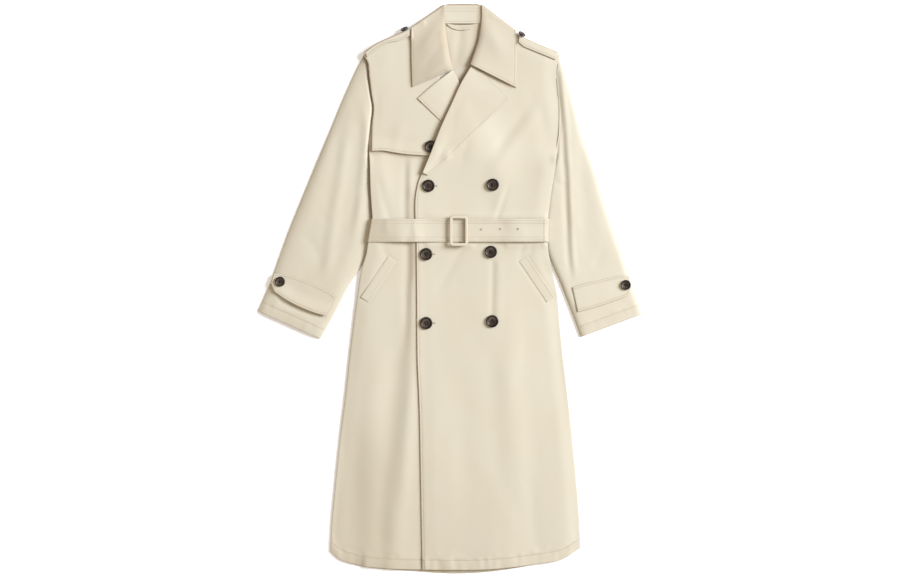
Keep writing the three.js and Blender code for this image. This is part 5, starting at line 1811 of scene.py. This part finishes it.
@dataclass
class Buckle:
    """The belt's frame buckle, covered with cloth and stitched along its bars."""

    node: str = "buckle"
    x: float = 18.0
    y: float = 124.0
    width: float = 40.0
    height: float = 66.0
    bar: float = 6.8
    corner: float = 8.0
    thick: float = 3.6
    sides: int = 16

    def outline(self, inset: float, z: float) -> Array:
        """Returns the loop that runs inside the outer edge by an inset."""
        half_x, half_y = self.width / 2 - inset, self.height / 2 - inset
        r = max(1.6, self.corner - inset)
        points = []
        for cx, cy, start in ((1, 1, 0), (-1, 1, 90), (-1, -1, 180), (1, -1, 270)):
            for a in np.radians(np.linspace(start, start + 90, 9)):
                points.append((cx * (half_x - r) + r * math.cos(a), cy * (half_y - r) + r * math.sin(a)))
        loop = np.array(points + points[:1])
        run = lengths_along(loop)
        even = np.linspace(0, run[-1], 161)[:-1]
        x = np.interp(even, run, loop[:, 0]) + self.x
        y = np.interp(even, run, loop[:, 1]) + self.y
        return np.stack((x, y, np.full(len(even), z)), axis=1)

    def build(self, coat: Coat) -> None:
        """Adds the buckle and its stitches."""
        base = coat.pile.near(self.x, self.y, 38) + CONTACT_GAP
        middle = self.outline(self.bar / 2, base + self.thick / 2)
        points, faces = loop_tube(middle, self.bar, self.thick, self.sides)
        maker = coat.maker
        piece = maker.add(f"{self.node}_cloth", points, faces, maker.finish.cloth, Slot.CLOTH, 0.4)
        # painted shade on the sides of the bars
        side = np.abs(np.cos(2 * np.pi * (np.arange(self.sides) + 0.5) / self.sides))
        maker.tint(piece, np.tile(0.45 * smooth((side - 0.75) / 0.2), len(middle)))
        seam = self.outline(1.9, base + self.thick - 0.55)
        maker.stitches(f"{self.node}_stitching", [np.concatenate((seam, seam[:1]))], 3.0)
        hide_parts(self.node)


def buttonhole(coat: Coat, place: ButtonPlace) -> None:
    """Adds the whipped edge of the buttonhole, whose end shows beside the button."""
    t = np.linspace(0, 1, 30)
    x = place.x - 6.0 + 25.0 * t
    spread = 0.75 + 0.45 * smooth((t - 0.86) / 0.1)
    low, high = (np.stack((x, place.y + side * spread), axis=1) for side in (-1.0, 1.0))
    loop = np.concatenate((low, high[::-1]))
    z = np.array([coat.pile.height(*point) for point in loop])
    points, faces = loop_tube(np.column_stack((loop, z + 0.15)), 0.95, 0.5, 6)
    name = place.node.replace("button", "buttonhole")
    coat.maker.add(name, points, faces, coat.maker.finish.buttonhole, Slot.CLOTH)


def eyelets(coat: Coat) -> None:
    """Adds the sewn eyelets of the belt, each with a dark disc in its opening as painted shade."""
    maker = coat.maker
    angle = 2 * np.pi * np.arange(28) / 28
    circle = BELT.eyelet_radius * np.stack((np.cos(angle), np.sin(angle)), axis=1)
    hole = np.array([(0.0, 0.02), (0.8, 0.02), (1.5, 0.05), (1.75, 0.1)])
    for k, (x, y) in enumerate(BELT.eyelets, start=1):
        z = coat.pile.height(x, y)
        ring = np.column_stack((circle + (x, y), np.full(len(angle), z + 0.2)))
        points, faces = loop_tube(ring, 1.3, 0.6)
        maker.add(f"belt_eyelet_{k}", points, faces, maker.finish.thread, Slot.CLOTH)
        # a dark disc over the opening stands for the shade in the hole
        points, faces = revolve(hole, 24)
        points = points + np.array((x, y, z))
        maker.add(f"belt_eyelet_hole_shade_{k}", points, faces, maker.finish.buttonhole, Slot.CLOTH)


# Finishes


class Value:
    """A shader socket that can be used in plain arithmetic."""

    def __init__(self, graph: "Graph", socket: bpy.types.NodeSocket) -> None:
        """Keeps the socket."""
        self.graph = graph
        self.socket = socket

    def maths(self, operation: str, *others: Any) -> "Value":
        """Adds a maths node."""
        sockets = dict(enumerate((self, *others)))
        return self.graph.read("ShaderNodeMath", 0, {"operation": operation}, sockets)

    def __add__(self, other: Any) -> "Value":
        """Returns the sum."""
        return self.maths("ADD", other)

    def __sub__(self, other: Any) -> "Value":
        """Returns the difference."""
        return self.maths("SUBTRACT", other)

    def __rsub__(self, other: Any) -> "Value":
        """Returns the difference from another value."""
        return (self * -1.0) + other

    def __mul__(self, other: Any) -> "Value":
        """Returns the product."""
        return self.maths("MULTIPLY", other)

    __radd__ = __add__
    __rmul__ = __mul__

    def wave(self) -> "Value":
        """Returns its sine, brought to between 0 and 1."""
        return self.maths("SINE") * 0.5 + 0.5

    def between(self, low: float, high: float) -> "Value":
        """Returns a smooth 0 to 1 as the value goes from low to high."""
        settings = {"interpolation_type": "SMOOTHSTEP"}
        sockets = {"Value": self, "From Min": low, "From Max": high}
        return self.graph.read("ShaderNodeMapRange", "Result", settings, sockets)


class Graph:
    """The node tree of one material."""

    def __init__(self, name: str) -> None:
        """Makes a material with one Principled shader."""
        self.material = bpy.data.materials.new(name)
        self.material.use_nodes = True
        self.tree = self.material.node_tree
        self.shader = next(n for n in self.tree.nodes if n.type == "BSDF_PRINCIPLED")

    def node(
        self, kind: str, settings: dict[str, Any] | None = None, inputs: dict[Any, Any] | None = None
    ) -> bpy.types.Node:
        """Adds a node.

        Args:
            kind: type of the node.
            settings: its properties, set before its sockets.
            inputs: values or links by socket name or index.

        Returns:
            The node.
        """
        made = self.tree.nodes.new(kind)
        for name, value in (settings or {}).items():
            setattr(made, name, value)
        for key, value in (inputs or {}).items():
            self.feed(made.inputs[key], value)
        return made

    def read(self, kind: str, output: str | int, settings: dict[str, Any], inputs: dict[Any, Any]) -> Value:
        """Adds a node and returns one of its outputs.

        Args:
            kind: type of the node.
            output: name or index of the output.
            settings: its properties.
            inputs: values or links by socket name or index.

        Returns:
            The output.
        """
        return Value(self, self.node(kind, settings, inputs).outputs[output])

    def feed(self, socket: bpy.types.NodeSocket, value: Any) -> None:
        """Links a value to a socket or sets it. A colour may leave its alpha out."""
        if isinstance(value, Value):
            self.tree.links.new(value.socket, socket)
        elif socket.type == "RGBA":
            socket.default_value = (*value[:3], 1.0)
        else:
            socket.default_value = value

    def shade(self, **inputs: Any) -> bpy.types.Material:
        """Sets inputs of the shader, with underscores for spaces in their names, and returns the material."""
        for name, value in inputs.items():
            self.feed(self.shader.inputs[name.replace("_", " ")], value)
        return self.material

    def place(self) -> Value:
        """Returns the place on the object."""
        return self.read("ShaderNodeTexCoord", "Object", {}, {})

    def parts(self, vector: Value) -> tuple[Value, Value]:
        """Returns x and y of a vector."""
        split = self.node("ShaderNodeSeparateXYZ", {}, {"Vector": vector})
        return Value(self, split.outputs["X"]), Value(self, split.outputs["Y"])

    def scaled(self, vector: Value, scale: tuple[float, float, float]) -> Value:
        """Returns a vector scaled on each axis."""
        return self.read("ShaderNodeMapping", "Vector", {}, {"Vector": vector, "Scale": scale})

    def shade_seam_highlight_tone(self) -> Value:
        """Returns the tone that is marked on the mesh: painted shade and the seams' tone on the cloth, a
        painted highlight on the buttons.
        """
        mark = self.read("ShaderNodeVertexColor", "Color", {"layer_name": "edge"}, {})
        return self.read("ShaderNodeSeparateColor", "Red", {}, {"Color": mark})

    def noise(self, vector: Value, scale: float, detail: float = 2.0, rough: float = 0.5) -> Value:
        """Returns the strength of a noise texture."""
        sockets = {"Vector": vector, "Scale": scale, "Detail": detail, "Roughness": rough}
        return self.read("ShaderNodeTexNoise", "Fac", {}, sockets)

    def blend(self, share: Any, a: Any, b: Any) -> Value:
        """Returns the mix of two colours."""
        return self.read("ShaderNodeMix", 2, {"data_type": "RGBA"}, {0: share, 6: a, 7: b})

    def bump(self, height: Value, distance: float, strength: float = 1.0) -> Value:
        """Returns normals bent by a height."""
        sockets = {"Strength": strength, "Distance": distance, "Height": height}
        return self.read("ShaderNodeBump", "Normal", {}, sockets)


Colour = tuple[float, float, float]


def darker(colour: Colour, share: float) -> Colour:
    """Returns a share of a colour."""
    return tuple(share * c for c in colour)


@dataclass(frozen=True)
class TwillFinish:
    """Fine cotton gabardine: diagonal ribs, uneven yarn and a slight change of tone over the cloth, with
    painted shade and the seams' tone blended in from the mesh.
    """

    name: str = "cotton_gabardine"
    colour: Colour = (0.626, 0.594, 0.49)
    warm: Colour = (0.633, 0.589, 0.477)
    # colour of the seam lines and of the painted shade
    seam: Colour = (0.27, 0.165, 0.075)
    rib: float = 0.00062

    def make(self) -> bpy.types.Material:
        """Returns the material."""
        graph = Graph(self.name)
        uv = graph.read("ShaderNodeUVMap", "UV", {"uv_map": "cloth"}, {})
        place = graph.place()
        across, along = graph.parts(uv)
        wander = graph.noise(uv, 90.0)
        rib = ((across * 0.86 + along * 0.5) * (2 * math.pi / self.rib) + wander * 5.0).wave()
        yarn = (along * (2 * math.pi / (0.8 * self.rib)) + wander * 3.0).wave()
        fibre = graph.noise(uv, 5200.0, 3.0, 0.6)
        tone = graph.noise(place, 9.0, 3.0, 0.55)
        streak = graph.noise(graph.scaled(uv, (900.0, 38.0, 1.0)), 1.0)
        light = graph.blend(tone.between(0.3, 0.72), self.colour, self.warm)
        shade = rib * 0.05 + streak * 0.06 + fibre * 0.05 + tone * 0.05
        woven = graph.blend(shade, light, darker(self.warm, 0.84))
        # The mesh's tone pulls the colour towards the seam colour: painted shade at edges, under other pieces
        # and in marked areas, and the seam lines
        return graph.shade(
            Base_Color=graph.blend(graph.shade_seam_highlight_tone() * 2.0, woven, self.seam),
            Roughness=fibre * 0.12 + 0.76,
            Normal=graph.bump(rib * 0.7 + yarn * 0.2 + fibre * 0.5, 0.00006, 0.55),
            Sheen_Weight=0.12,
            Sheen_Roughness=0.5,
            Specular_IOR_Level=0.25,
        )


@dataclass(frozen=True)
class ThreadFinish:
    """Twisted sewing thread."""

    name: str
    colour: Colour
    shade: float = 0.75
    twist: float = 0.0006

    def make(self) -> bpy.types.Material:
        """Returns the material."""
        graph = Graph(self.name)
        place = graph.place()
        x, y = graph.parts(place)
        twist = ((x + y * 1.3) * (2 * math.pi / self.twist)).wave()
        fuzz = graph.noise(place, 3000.0)
        return graph.shade(
            Base_Color=graph.blend(twist * 0.5 + fuzz * 0.4, self.colour, darker(self.colour, self.shade)),
            Roughness=fuzz * 0.2 + 0.55,
            Normal=graph.bump(twist, 0.00005, 0.6),
            Sheen_Weight=0.1,
        )


@dataclass(frozen=True)
class HornFinish:
    """Polished dark horn with brown and black streaks, and a painted highlight in its dish from the mesh's
    tone.
    """

    name: str = "dark_horn"
    black: Colour = (0.006, 0.005, 0.0045)
    brown: Colour = (0.036, 0.025, 0.019)
    pale_vein_and_highlight: Colour = (0.2, 0.145, 0.11)

    def make(self) -> bpy.types.Material:
        """Returns the material."""
        graph = Graph(self.name)
        place = graph.place()
        stretched = graph.scaled(place, (1.0, 0.35, 1.0))
        cloud = graph.noise(stretched, 130.0, 4.0, 0.6)
        streak = graph.noise(stretched, 420.0, 3.0, 0.55)
        base = graph.blend(cloud.between(0.42, 0.62), self.black, self.brown)
        scratch = graph.noise(place, 2600.0)
        veined = graph.blend(streak.between(0.62, 0.78) * 0.6, base, self.pale_vein_and_highlight)
        # the mesh's tone paints a highlight in the pale colour; the pale colour also gives the veins
        return graph.shade(
            Base_Color=graph.blend(graph.shade_seam_highlight_tone() * (cloud * 0.8 - 0.02), veined, self.pale_vein_and_highlight),
            Roughness=scratch * 0.14 + 0.34,
            Normal=graph.bump(scratch, 0.00003, 0.25),
            Coat_Weight=0.12,
            Coat_Roughness=0.2,
            Specular_IOR_Level=0.3,
        )


@dataclass
class Finishes:
    """All finishes of the coat."""

    cloth: bpy.types.Material
    thread: bpy.types.Material
    buttonhole: bpy.types.Material
    dark_thread: bpy.types.Material
    horn: bpy.types.Material

    @classmethod
    def make(cls) -> "Finishes":
        """Makes the materials."""
        return cls(
            TwillFinish().make(),
            ThreadFinish("cream_thread", (0.56, 0.48, 0.35)).make(),
            ThreadFinish("buttonhole_thread", (0.36, 0.28, 0.2)).make(),
            ThreadFinish("brown_thread", (0.045, 0.032, 0.026), 0.5).make(),
            HornFinish().make(),
        )


# Studio


@dataclass(frozen=True)
class Lamp:
    """A square soft light that looks at the coat: place and side in metres, power in watts, linear colour."""

    name: str
    at: tuple[float, float, float]
    side: float
    power: float
    colour: Colour


@dataclass(frozen=True)
class Studio:
    """Pale floor, soft light from the upper right and a camera straight above the coat."""

    # the photograph's frame: its width in pixels and the real length that a pixel spans at the coat
    frame_px: float = 900.0
    mm_per_px: float = 2.15
    centre: tuple[float, float] = (-0.75, 0.5)
    coat_level: float = 8.0
    # camera, in metres but for the sensor
    distance: float = 4.0
    sensor: float = 36.0
    farthest: float = 60.0
    floor_half: float = 6.0
    floor_level: float = -0.0004
    floor_colour: Colour = (0.93, 0.945, 0.985)
    floor_glow: float = 0.22
    sky: Colour = (1.0, 0.82, 0.6)
    sky_strength: float = 0.43
    lamps: tuple[Lamp, ...] = (
        Lamp("key", (5.2, 2.0, 3.2), 2.7, 650.0, (0.985, 1.03, 1.11)),
        Lamp("fill", (-0.6, -1.6, 4.2), 3.0, 26.0, (1.0, 0.97, 0.92)),
    )

    def build(self) -> None:
        """Adds the floor, the lights and the camera."""
        self.floor()
        self.world()
        for lamp in self.lamps:
            self.light(lamp)
        self.camera()

    def place(self, name: str, data: bpy.types.ID) -> bpy.types.Object:
        """Adds an object to the scene."""
        made = bpy.data.objects.new(name, data)
        bpy.context.scene.collection.objects.link(made)
        return made

    def floor(self) -> None:
        """Adds the floor under the coat."""
        mesh = bpy.data.meshes.new("floor")
        signs = ((-1, -1), (1, -1), (1, 1), (-1, 1))
        corners = [(sx * self.floor_half, sy * self.floor_half, self.floor_level) for sx, sy in signs]
        mesh.from_pydata(corners, [], [(0, 1, 2, 3)])
        white = Graph("floor_white").shade(
            Base_Color=self.floor_colour,
            Roughness=0.9,
            Specular_IOR_Level=0.1,
            Emission_Color=(1.0, 1.0, 1.0),
            Emission_Strength=self.floor_glow,
        )
        mesh.materials.append(white)
        self.place("floor", mesh)

    def world(self) -> None:
        """Gives the even light of the studio."""
        world = bpy.data.worlds.new("studio")
        world.use_nodes = True
        back = next(n for n in world.node_tree.nodes if n.type == "BACKGROUND")
        back.inputs["Color"].default_value = (*self.sky, 1.0)
        back.inputs["Strength"].default_value = self.sky_strength
        bpy.context.scene.world = world

    def light(self, lamp: Lamp) -> None:
        """Adds a light."""
        data = bpy.data.lights.new(lamp.name, "AREA")
        data.shape = "SQUARE"
        data.size = lamp.side
        data.energy = lamp.power
        data.color = lamp.colour
        made = self.place(lamp.name, data)
        made.location = lamp.at
        made.rotation_mode = "QUATERNION"
        made.rotation_quaternion = (-Vector(lamp.at)).to_track_quat("-Z", "Y")

    def camera(self) -> None:
        """Adds the camera, square to the floor."""
        data = bpy.data.cameras.new("camera")
        data.sensor_width = self.sensor
        data.lens = data.sensor_width * self.distance / (self.frame_px * self.mm_per_px * MM)
        data.clip_end = self.farthest
        camera = self.place("camera", data)
        height = self.distance + self.coat_level * MM
        camera.location = (self.centre[0] * MM, self.centre[1] * MM, height)
        bpy.context.scene.camera = camera
        bpy.context.scene.view_settings.view_transform = "Standard"


# The coat


def lapel(node: str, table: Table, rests_on: tuple[str, ...], shade_marks: tuple[Crease, ...]) -> Panel:
    """Returns a lapel between its roll edge and its outer edge.

    Args:
        node: its node.
        table: its rows.
        rests_on: what it lies on.
        shade_marks: areas of painted shade.

    Returns:
        The lapel.
    """
    patch = Patch.between(table.points("inX", "inY"), table.points("outX", "outY"), (LAPEL_POINT,))
    return Panel(
        node, patch, rests_on, wall=1.3, edges={Side.RIGHT: STITCHED, Side.TOP: STITCHED}, folds=LAPEL_FOLDS,
        soften=12, gap=0.2, tone=0.45, shade_marks=shade_marks, keep=(float(patch.right.knots[LAPEL_POINT]),), grain=0.5,
    )


def cuff_strap(side: str, table: Table, lift: float) -> Panel:
    """Returns a strap across a cuff, pointed at its end.

    Args:
        side: the wearer's side.
        table: its rows.
        lift: height by which its lower edge stands off.

    Returns:
        The strap.
    """
    patch = Patch.between(table.points("upX", "upY"), table.points("lowX", "lowY"), (CUFF_POINT,))
    edges = dict.fromkeys((Side.LEFT, Side.RIGHT, Side.BOTTOM), Edging((4.5,), pucker=0.08))
    return Panel(
        f"cuff_strap_{side}", patch, (f"sleeve_{side}",), wall=1.4, step=(4.0, 4.0), gap=0.25, edges=edges,
        folds=STRIP_FOLDS, soften=8, lift={Side.RIGHT: (lift, 34.0)},
        keep=(float(patch.right.knots[CUFF_POINT]),), grain=1.2,
    )


def pocket_welt(pocket: Pocket, front: str) -> Panel:
    """Returns a slanted pocket welt that lies on a front."""
    tilt = math.radians(pocket.tilt)
    along = np.array((math.sin(tilt), math.cos(tilt))) * pocket.half_length
    across = np.array((math.cos(tilt), -math.sin(tilt))) * pocket.half_width
    middle = np.array((pocket.x, pocket.y))
    left, right = ([middle + across * a + along * s for s in (1, -1)] for a in (-1, 1))
    patch = Patch(Line(left), Line(right), Line((left[0], right[0])), Line((left[1], right[1])))
    edges = dict.fromkeys((Side.LEFT, Side.RIGHT), Edging((2.5,), turn=1.2))
    return Panel(
        pocket.node, patch, (front,), wall=0.45, step=(3.0, 4.0), edges=edges, soften=4, rounds=3, gap=0.08,
        tone=0.04, grain=-tilt,
    )


def body_panels() -> tuple[Panel, Panel, Panel]:
    """Returns the back, the wearer's right front and the left front."""
    left = body_side("left", (-188, 501), (-258, -566))
    right = body_side("right", (236, 502), (280, -558))
    neck = (RIGHT_SHOULDER.points(), NECKLINE.points(), [(90, 583)], LEFT_SHOULDER.points()[1:])
    back = Patch(left, right, Line(np.concatenate(neck), (5, 8)), Line(BACK_HEM.points()))
    under = Patch(left, *(Line(t.points()) for t in (UNDER_EDGE, RIGHT_SHOULDER, RIGHT_HEM)))
    upper = Patch(Line(UPPER_EDGE.points()), right, Line(LEFT_SHOULDER.points()), Line(LEFT_HEM.points()))
    left_edges = {Side.LEFT: STITCHED, Side.BOTTOM: HEMMED, Side.RIGHT: Edging(rim=0.06)}
    return (
        Panel(
            "back", back, ("belt", "collar"), step=(1.2 * FINE_STEP, 1.2 * FINE_STEP),
            edges={Side.BOTTOM: HEMMED}, folds=BACK_FOLDS, shade_marks=BACK_SHADE, soften=8, rounds=4,
        ),
        Panel(
            "front_right", under, ("back",), step=(1.25 * FINE_STEP, 1.1 * FINE_STEP),
            edges={Side.BOTTOM: HEMMED}, folds=RIGHT_FRONT_FOLDS, shade_marks=RIGHT_FRONT_SHADE, air=1.2,
        ),
        Panel(
            "front_left", upper, ("front_right", "back"), edges=left_edges, folds=LEFT_FRONT_FOLDS,
            shade_marks=(SHADE_UNDER_LEFT_LEAF, LEFT_SKIRT_SHADE), air=1.2,
        ),
    )


def collar_stand() -> Panel:
    """Returns the band inside the neck."""
    ends = (COLLAR_STAND.points("left") - (STAND_TUCK, 0), COLLAR_STAND.points("right") + (STAND_TUCK, 0))
    edges = {Side.TOP: Edging((6.0, 13.0)), Side.BOTTOM: Edging((5.0,), rim=0.08)}
    return Panel(
        "collar_stand", Patch.between(*ends), ("back",), 0.7, (4.0, 3.0), edges, STRIP_FOLDS, soften=4,
        rounds=12, tone=0.35, gap=0.2, shade_marks=(SHADE_BEHIND_THE_LEAF,),
    )


def hanger_loop() -> Panel:
    """Returns the loop inside the neck."""
    top = HANGER_LOOP.points()
    low = top - (0, 5)
    strip = Patch(Line(top), Line(low), Line((top[0], low[0])), Line((top[-1], low[-1])))
    return Panel("hanger_loop", strip, ("back",), 1.2, (2.0, 2.0), soften=1, rounds=1, grain=1.5)


def storm_flap() -> Panel:
    """Returns the flap on the wearer's right chest."""
    patch = Patch(*(Line(t.points()) for t in (FLAP_OUTER, FLAP_INNER, FLAP_TOP, FLAP_LOW)))
    return Panel(
        "storm_flap", patch, ("front_right",), DOUBLE_T, folds=FLAP_FOLDS, soften=14,
        edges={Side.BOTTOM: Edging((TOPSTITCH,), pucker=0.2)}, lift={Side.BOTTOM: (2.0, 34.0)},
        shade_marks=(SHADE_UNDER_THE_EDGE, SHADE_UNDER_RIGHT_LEAF),
    )


def place_button(coat: Coat, place: ButtonPlace) -> None:
    """Sets a button on the cloth and keeps the cloth laid later clear of it."""
    reach = place.diameter / 2
    z = coat.pile.near(place.x, place.y, 0.72 * reach) + CONTACT_GAP
    Button(place).build(coat, z)
    half = 0.7 * reach
    top = z + BUTTON_HEIGHT
    corners = [[(place.x + sx * half, place.y + sy * half, top) for sx in (-1, 1)] for sy in (-1, 1)]
    coat.pile.stamp(np.array(corners))


def shoulder_buttons(coat: Coat) -> None:
    """Adds the buttons that stand on the folds of the shoulder straps."""
    rise = math.radians(28.0)
    for node, x, y, out_x, out_y in SHOULDER_BUTTONS:
        axis = Vector((out_x * math.cos(rise), out_y * math.cos(rise), math.sin(rise))).normalized()
        Button(ButtonPlace(node, x, y, SHOULDER_BUTTON), height=3.4, sides=40).build(coat, 9.2, axis)


def build_coat(coat: Coat) -> None:
    """Builds the pieces in the order in which they are laid."""
    Sleeve(
        "sleeve_right", RIGHT_SLEEVE, "left", -1.0, RIGHT_SLEEVE_FOLDS, seam=-1.2, dip=4.2, level=0.2,
        grain=-0.42, shade_marks=(SHADE_UNDER_CUFF_STRAP,),
    ).build(coat)
    Sleeve(
        "sleeve_left", LEFT_SLEEVE, "right", 1.0, LEFT_SLEEVE_FOLDS, seam=-1.0, dip=0.4, level=0.75,
        grain=0.33,
    ).build(coat)
    belt, collar = Belt(), Collar()
    strap_tables = {"right": RIGHT_STRAP, "left": LEFT_STRAP}
    straps = [ShoulderStrap(f"shoulder_strap_{side}", table) for side, table in strap_tables.items()]
    for strip in (belt, collar, *straps):
        strip.lay_back(coat)
    back, right_front, left_front = body_panels()
    for panel in (
        back, collar_stand(), hanger_loop(), right_front, storm_flap(),
        lapel("lapel_right", UNDER_LAPEL, ("front_right", "storm_flap"), (SHADE_UNDER_THE_EDGE,)),
    ):
        panel.build(coat)
    place_button(coat, BUTTONS[0])
    for panel in (
        left_front,
        lapel("lapel_left", UPPER_LAPEL, ("front_left",), (SHADE_UNDER_LEFT_LEAF, LEFT_LAPEL_SHADE)),
        pocket_welt(POCKETS[0], "front_right"),
        pocket_welt(POCKETS[1], "front_left"),
        *straps,
        collar,
        belt,
    ):
        panel.build(coat)
    eyelets(coat)
    Buckle().build(coat)
    cuff_strap("right", RIGHT_CUFF_STRAP, 2.6).build(coat)
    cuff_strap("left", LEFT_CUFF_STRAP, 0.8).build(coat)
    for place in BUTTONS[1:]:
        if place.holed:
            buttonhole(coat, place)
        place_button(coat, place)
    shoulder_buttons(coat)


def main() -> None:
    """Builds the coat and the studio."""
    logging.basicConfig(level=logging.INFO, format="%(message)s")
    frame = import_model()
    build_coat(Coat(frame, MeshMaker(Finishes.make())))
    Studio().build()


if __name__ == "__main__":
    main()
